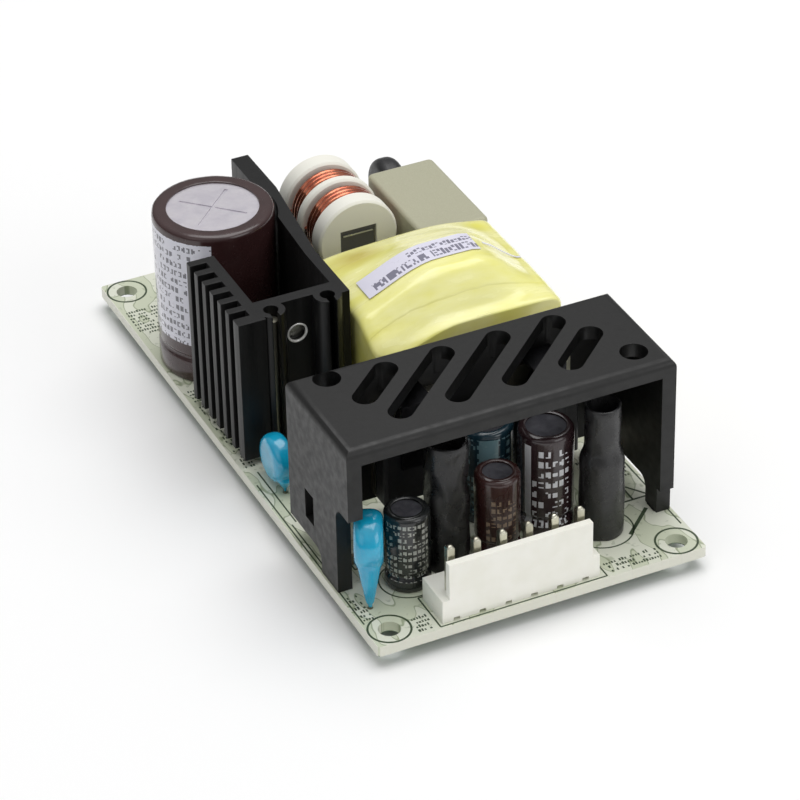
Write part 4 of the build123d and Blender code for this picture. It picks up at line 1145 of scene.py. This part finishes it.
@dataclass
class RodChoke:
    """Ferrite rod and its wire in a shrunk tube that is open at the top.

    Args:
        side: Name ending of its nodes.
        x: Axis from the left edge.
        y: Axis from the front edge.
        diameter: Over the tube.
        height: Height of the tube.
        neck: Share of the radius above the rod.
        crumple: Height of the wrinkles in millimetres.
    """

    side: str
    x: float
    y: float
    diameter: float
    height: float
    neck: float
    crumple: float = 0.16

    def build(self) -> None:
        """Builds the tube with its wrinkles."""
        radius = self.diameter / 2
        step = self.height * 0.62
        neck = radius * self.neck
        profile = [(radius - 0.45, 0.3), (radius - 0.4, 0.02), (radius - 0.1, 0.0), (radius, 0.3)]
        for number in range(1, 12):
            profile.append((radius, 0.3 + (step - 1.3) * number / 12))
        profile += [(radius, step - 1.0), (radius - (radius - neck) * 0.25, step - 0.3),
                    (neck + (radius - neck) * 0.2, step + 0.5), (neck, step + 1.2)]
        for number in range(1, 7):
            profile.append((neck, step + 1.2 + (self.height - step - 1.5) * number / 7))
        profile += [(neck, self.height - 0.12), (neck - 0.1, self.height), (neck - 0.36, self.height - 0.02),
                    (neck - 0.45, self.height - 0.2), (neck - 0.45, step + 0.2)]
        form = Form().turn(profile, Matrix.Translation(at(self.x, self.y)), 40)
        form.ripple(self.crumple, 1.5, (1, 1, 0.55))
        form.piece(f"shrunk_tube_{self.side}", Palette.SHRUNK.material(), "sleeve_shrunk",
                   [f"rod_sleeve_{self.side}"], 80)
        Frame.dress([f"rod_choke_{self.side}"], Palette.FERRITE.material())


@dataclass
class Headers:
    """Both white headers with their square pins.

    Args:
        edge: Width of the housings' soft edges in millimetres.
        pin_edge: Width of the pins' soft edges.
    """

    edge: float = 0.12
    pin_edge: float = 0.08

    def build(self) -> None:
        """Builds the housings and the pins with soft edges."""
        for name in ("output", "input"):
            Form.rounded(f"{name}_header", self.edge, f"{name}_housing", Palette.WHITE_NYLON, "header_white")
            Form.rounded(f"{name}_pins", self.pin_edge, f"{name}_posts", Palette.TINNED, "tinned_metal", 1)


@dataclass
class Board:
    """Printed board with its marks and solder joints.

    Args:
        holes: Mounting holes' distance from the edges.
        ring: Inner and outer radius of the printed ring round a hole.
        pad: How far a solder pad reaches past its hole.
        widest: Half width below which a hole is taken for a lead's.
        thickness: Thickness of the print.
        line: Width of an outline.
        row: Distance between rows of small marks.
        step: Distance between the marks in a row.
        circles: Printed circles: from the left edge, from the front edge, radius.
        frames: Printed outlines: left, front, right, rear.
        strokes: Printed lines: start, end and width.
        fields: Fields of small marks: left, front, right, rear.
    """

    holes: float = 3.175
    ring: tuple[float, float] = (2.85, 3.15)
    pad: float = 0.45
    widest: float = 1.5
    thickness: float = 0.03
    line: float = 0.22
    row: float = 0.9
    step: float = 0.42
    circles: tuple[tuple[float, float, float], ...] = (
        (39.6, 10.5, 4.5), (10.2, 12.0, 4.0), (24.3, 12.5, 4.0), (11.5, 36.5, 3.9))
    frames: tuple[tuple[float, float, float, float], ...] = (
        (9.6, 0.4, 35.2, 7.6), (16.1, 93.9, 30.0, 101.2), (4.6, 17.4, 15.0, 20.6), (21.6, 38.2, 33.4, 41.4),
        (36.6, 38.0, 48.4, 41.2), (6.2, 41.2, 16.8, 44.4))
    strokes: tuple[tuple[float, float, float, float, float], ...] = (
        (42.6, 7.4, 47.6, 12.0, 0.55), (44.2, 14.6, 49.6, 14.6, 0.3), (44.2, 14.6, 46.6, 18.0, 0.3),
        (49.6, 14.6, 47.2, 18.0, 0.3), (46.9, 14.6, 46.9, 19.4, 0.3), (0.5, 5.6, 0.5, 42.0, 0.22),
        (1.1, 19.6, 1.1, 31.0, 0.22), (1.9, 31.4, 1.9, 45.0, 0.22), (50.2, 6.5, 50.2, 60.0, 0.22))
    fields: tuple[tuple[float, float, float, float], ...] = (
        (6.7, 0.7, 9.2, 4.9), (36.0, 0.9, 44.2, 4.4), (36.2, 5.2, 41.2, 6.0), (0.9, 6.2, 2.3, 12.6),
        (43.8, 20.2, 49.8, 27.0), (0.9, 46.6, 2.4, 70.0), (2.6, 20.4, 5.4, 30.0), (0.8, 86.0, 6.0, 94.0))

    def material(self) -> bpy.types.Material:
        """Pale laminate with darker tracks below its lacquer and near-white cut edges."""
        paint = Paint("board_face")
        place = paint.place()
        x, y, z = paint.axes(place)
        flat = paint.stretched(place, (1.0, 1.0, 0.0))
        tracks = paint.noise(paint.stretched(flat, (1.0, 0.45, 1.0)), 330.0, 1.0)
        patches = paint.noise(flat, 900.0, 2.0)
        face = paint.mix(paint.spread(tracks, 0.50, 0.52), (226, 229, 212), (208, 214, 190))
        outline = paint.spread(abs(tracks - 0.51), 0.006, 0.016, 0.75, 0.0)
        face = paint.mix(outline, face, (140, 152, 116))
        face = paint.mix(paint.spread(patches, 0.62, 0.68) * 0.4, face, (150, 160, 132))
        side, end = BOARD_WIDTH / 2 - 0.1, BOARD_LENGTH / 2 - 0.1
        cut = (abs(x) > side * MM).either(abs(y) > end * MM)
        below = z < 0.1 * MM
        lacquer = paint.mix(paint.spread(tracks, 0.5, 0.53), (74, 112, 66), (58, 94, 54))
        colour = paint.mix(cut, paint.mix(below, face, lacquer), (228, 228, 214))
        relief = paint.spread(tracks, 0.5, 0.53)
        gloss = paint.spread(patches, 0.3, 0.7, 0.3, 0.45)
        return paint.finish(colour, gloss, relief, 0.00004, 0.4, Coat_Weight=0.15)

    def ink(self) -> bpy.types.Material:
        """Dark green print."""
        paint = Paint("board_print")
        grain = paint.noise(paint.place(), 1500.0)
        colour = paint.mix(paint.spread(grain, 0.3, 0.7), (46, 62, 40), (70, 86, 60))
        return paint.finish(colour, paint.spread(grain, 0.3, 0.7, 0.45, 0.6))

    def lead_holes(self) -> list[tuple[Vector, float]]:
        """Finds the small holes in the board's own mesh.

        Returns:
            Each hole's centre on the underside, and its half width in millimetres.
        """
        form = Form.of_node("circuit_board")
        walls = {f for f in form.bm.faces if abs(f.normal.z) < 0.1}
        found = []
        while walls:
            front = [walls.pop()]
            wall = list(front)
            while front:
                near = {f for edge in front.pop().edges for f in edge.link_faces} & walls
                walls -= near
                front += near
                wall += near
            low, high = span(v.co for f in wall for v in f.verts)
            half = max(high.x - low.x, high.y - low.y) / 2 / MM
            if half < self.widest:
                found.append((Vector(((low.x + high.x) / 2, (low.y + high.y) / 2, 0)), half))
        form.bm.free()
        return found

    def stroke(self, form: Form, x0: float, y0: float, x1: float, y1: float, width: float) -> None:
        """Adds one flat printed line.

        Args:
            form: Where it goes.
            x0: Start from the left edge.
            y0: Start from the front edge.
            x1: End from the left edge.
            y1: End from the front edge.
            width: Width of the line.
        """
        turn = Quaternion((0, 0, 1), math.atan2(y1 - y0, x1 - x0))
        size = Vector((math.hypot(x1 - x0, y1 - y0), width, self.thickness)) * MM
        matrix = Matrix.LocRotScale(at((x0 + x1) / 2, (y0 + y1) / 2, self.thickness / 2), turn, size)
        bmesh.ops.create_cube(form.bm, size=1.0, matrix=matrix)

    def circle(self, form: Form, x: float, y: float, inner: float, outer: float) -> None:
        """Adds one flat printed ring.

        Args:
            form: Where it goes.
            x: Middle from the left edge.
            y: Middle from the front edge.
            inner: Inner radius.
            outer: Outer radius.
        """
        top = self.thickness
        profile = [(inner, 0.0), (inner, top), (outer, top), (outer, 0.0)]
        form.turn(profile, Matrix.Translation(at(x, y)), 48)

    def print_marks(self, form: Form) -> None:
        """Adds the parts' outlines, loose lines and fields of small plain marks.

        Args:
            form: Where they go.
        """
        for x, y, radius in self.circles:
            self.circle(form, x, y, radius, radius + self.line)
        for x0, y0, x1, y1 in self.frames:
            corners = [(x0, y0), (x1, y0), (x1, y1), (x0, y1), (x0, y0)]
            for (ax, ay), (bx, by) in zip(corners, corners[1:]):
                self.stroke(form, ax, ay, bx, by, self.line)
        for line in self.strokes:
            self.stroke(form, *line)
        for x0, y0, x1, y1 in self.fields:
            for number in range(int((y1 - y0) / self.row)):
                y = y0 + self.row * number
                x = x0
                while x < x1:
                    chance = noise.noise(Vector((x * 3.1, y * 2.7, 1.5)))
                    if chance > -0.15:
                        length = 0.3 + 0.5 * abs(noise.noise(Vector((x * 5.3, y * 4.1, 7.5))))
                        self.stroke(form, x, y, x, y + length, 0.2 + 0.2 * abs(chance))
                    x += self.step

    def build(self) -> None:
        """Builds the print and the solder joints and dresses the board."""
        Frame.dress(["circuit_board"], self.material())
        marks = Form()
        inner, outer = self.ring
        for x in (self.holes, BOARD_WIDTH - self.holes):
            for y in (self.holes, BOARD_LENGTH - self.holes):
                self.circle(marks, x, y, inner, outer)
        self.print_marks(marks)
        marks.piece("board_marks", self.ink(), "board_laminate")
        joints = Form()
        holes = self.lead_holes()
        for centre, half in holes:
            size = half + self.pad
            profile = [(size, 0.0), (size, -0.05), (half + 0.15, -0.3), (half - 0.02, -0.75),
                       (half - 0.12, -1.15)]
            joints.turn(profile, Matrix.Translation(centre), 16)
        joints.piece("solder_joints", Palette.SOLDER.material(), "tinned_metal", (), 60)
        LOG.info("%d lead holes", len(holes))


@dataclass
class SmallParts:
    """The plain parts that show little.

    Args:
        edge: Width of the grey box's soft edges in millimetres.
    """

    edge: float = 0.15

    def build(self) -> None:
        """Dresses the small parts and builds the grey box."""
        Form.rounded("suppression_capacitor", self.edge, "grey_box", Palette.GREY_BOX, "box_grey")
        finishes = {
            Palette.PACKAGE: ["bridge_rectifier", "voltage_reference", "control_chip", "diodes"],
            Palette.COUPLER: ["optocoupler"],
            Palette.BLACK_DIP: ["fuse"],
            Palette.FILM: ["film_capacitor"],
            Palette.CHIP: ["chip_parts", "resistors"],
        }
        for finish, nodes in finishes.items():
            Frame.dress(nodes, finish.material())


@dataclass
class Studio:
    """Pale floor, soft lights and the camera.

    Args:
        floor: Height of the floor.
        eye: Camera's place in millimetres.
        azimuth: Direction of the camera about Z, in degrees.
        elevation: Height of the camera above the horizon, in degrees.
        roll: Roll about the view axis, in degrees.
        lens: Focal length in millimetres on a 36 millimetre sensor.
        glow: Strength of the surroundings' light at the horizon and overhead.
        lights: Name, place in metres, side in metres and power in watts of each light.
    """

    floor: float = -0.002
    eye: tuple[float, float, float] = (-187.96, -412.64, 313.22)
    azimuth: float = -24.724
    elevation: float = 34.352
    roll: float = -1.273
    lens: float = 167.81
    glow: tuple[float, float] = (0.14, 0.8)
    lights: tuple[tuple[str, tuple[float, float, float], float, float], ...] = (
        ("overhead", (0.12, 0.10, 0.75), 0.7, 3.6), ("left", (-0.65, -0.35, 0.40), 0.5, 0.3),
        ("front", (0.35, -0.70, 0.40), 0.5, 1.3))

    def camera(self) -> None:
        """Sets the camera where the photograph was taken."""
        a, e, r = (math.radians(v) for v in (self.azimuth, self.elevation, self.roll))
        back = Vector((math.sin(a) * math.cos(e), -math.cos(a) * math.cos(e), math.sin(e)))
        right = Vector((math.cos(a), math.sin(a), 0.0))
        up = back.cross(right)
        across = right * math.cos(r) + up * math.sin(r)
        upward = up * math.cos(r) - right * math.sin(r)
        data = bpy.data.cameras.new("camera")
        data.lens = self.lens
        data.sensor_width = 36.0
        data.clip_start = 0.01
        data.clip_end = 20.0
        made = placed("camera", data)
        turn = Matrix((across, upward, back)).transposed()
        made.matrix_world = Matrix.LocRotScale(Vector(self.eye) * MM, turn.to_quaternion(), None)
        bpy.context.scene.camera = made

    def light(self, name: str, place: tuple[float, float, float], size: float, power: float) -> None:
        """Adds a soft square light that faces the part.

        Args:
            name: The light's name.
            place: Its place in metres.
            size: Its side in metres.
            power: Its power in watts.
        """
        data = bpy.data.lights.new(name, "AREA")
        data.shape = "SQUARE"
        data.size = size
        data.energy = power
        made = placed(name, data)
        made.location = place
        made.rotation_euler = (-Vector(place)).to_track_quat("-Z", "Y").to_euler()

    def world(self) -> None:
        """White surroundings for the camera and soft grey light for the rest."""
        paint = Paint("studio", world=True)
        height = paint.axes(Value(paint, paint.node("TexCoord").outputs["Generated"]))[2]
        low, high = self.glow
        soft = paint.node("Background", inputs={"Strength": paint.spread(height, 0.0, 0.9, low, high)})
        white = paint.node("Background")
        seen = paint.node("LightPath").outputs["Is Camera Ray"]
        choice = paint.node("MixShader", inputs={0: seen, 1: soft.outputs[0], 2: white.outputs[0]})
        paint.node("OutputWorld", inputs={0: choice.outputs[0]})
        bpy.context.scene.world = paint.owner

    def build(self) -> None:
        """Builds the floor, the lights and the camera."""
        form = bmesh.new()
        level = Matrix.Translation((0, 0, self.floor))
        bmesh.ops.create_grid(form, x_segments=2, y_segments=2, size=3.0, matrix=level)
        mesh = bpy.data.meshes.new("floor")
        form.to_mesh(mesh)
        form.free()
        paint = Paint("floor")
        shade = paint.noise(paint.place(), 3.0)
        colour = paint.mix(shade, (253, 253, 253), (250, 250, 250))
        gloss = paint.spread(shade, 0.3, 0.7, 0.7, 0.8)
        mesh.materials.append(paint.finish(colour, gloss, Specular_IOR_Level=0.1))
        placed("floor", mesh)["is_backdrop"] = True
        for name, place, size, power in self.lights:
            self.light(name, place, size, power)
        self.world()
        self.camera()
        settings = bpy.context.scene.view_settings
        settings.view_transform = "Standard"


def capacitors() -> list[RoundCapacitor]:
    """The six round capacitors with their print.

    Returns:
        The capacitors.
    """
    rows, stripe = Print.ROWS, Print.STRIPE
    reservoir = SleeveInk("reservoir_ink", (44, 26, 26), (216, 216, 226), Print.LABEL, 190.0, 55.0, 1.5, 0.8,
                          6.6, 24.4)
    black = SleeveInk("black_ink", (22, 24, 24), (170, 172, 164), rows, 245.0, 60.0, 1.05, 0.7, 1.8, 11.4)
    brown = SleeveInk("brown_ink", (44, 24, 22), (140, 120, 100), rows, 255.0, 40.0, 1.2, 0.8, 3.0, 11.0)
    tall = SleeveInk("tall_ink", (36, 24, 26), (224, 226, 230), rows, 255.0, 40.0, 1.7, 1.0, 2.0, 15.6,
                     (204.0, 8.0))
    teal = SleeveInk("teal_ink", (20, 42, 52), (118, 150, 158), stripe, 250.0, 50.0, 1.4, 0.9, 1.5, 14.6)
    spare = SleeveInk("spare_ink", (30, 30, 32), (190, 190, 184), stripe, 200.0, 60.0, 1.6, 1.1, 1.5, 10.0)
    return [
        RoundCapacitor("reservoir", "sleeve_brown", 9.5, 76.3, 18.2, 25.8, 2.2, reservoir, True),
        RoundCapacitor("black_capacitor", "sleeve_black", 10.2, 12.0, 6.5, 12.4, 1.1, black),
        RoundCapacitor("brown_capacitor", "sleeve_dark_brown", 24.3, 12.5, 6.5, 13.8, 1.1, brown),
        RoundCapacitor("tall_capacitor", "sleeve_dark_brown", 33.2, 15.2, 8.0, 17.0, 1.1, tall),
        RoundCapacitor("teal_capacitor", "sleeve_teal", 27.2, 21.9, 8.0, 15.5, 1.1, teal),
        RoundCapacitor("auxiliary_capacitor", "sleeve_black", 11.5, 36.5, 6.3, 11.2, 1.1, spare),
    ]


def discs() -> list[DippedDisc]:
    """The dipped disc parts.

    Returns:
        The discs.
    """
    return [
        DippedDisc("disc_capacitor_front", Palette.BLUE_DIP, "disc_blue", 65.0, 1.28),
        DippedDisc("disc_capacitor_rear", Palette.BLUE_DIP, "disc_blue"),
        DippedDisc("varistor", Palette.BLUE_DIP, "disc_blue"),
        DippedDisc("thermistor", Palette.BLACK_DIP, "coat_black"),
    ]


def note_size(sizes: dict[str, list[list[float]]], name: str) -> None:
    """Notes the shown object's bounds.

    Args:
        sizes: Bounds noted so far.
        name: Name of the moment.
    """
    low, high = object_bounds()
    sizes[name] = [list(low), list(high)]


def main() -> None:
    """Builds every piece in order."""
    logging.basicConfig(level=logging.INFO, format="%(name)s %(message)s")
    Frame.load()
    sizes: dict[str, list[list[float]]] = {}
    note_size(sizes, "loaded")
    Board().build()
    for capacitor in capacitors():
        capacitor.build()
    Heatsink().build()
    Choke().build()
    Transformer().build()
    OutputBracket().build()
    Headers().build()
    for disc in discs():
        disc.build()
    RodChoke("left", 17.0, 13.6, 6.3, 20.6, 0.96, 0.4).build()
    RodChoke("right", 39.6, 10.5, 6.4, 21.4, 0.8).build()
    SmallParts().build()
    Studio().build()
    note_size(sizes, "dressed")


if __name__ == "__main__":
    main()
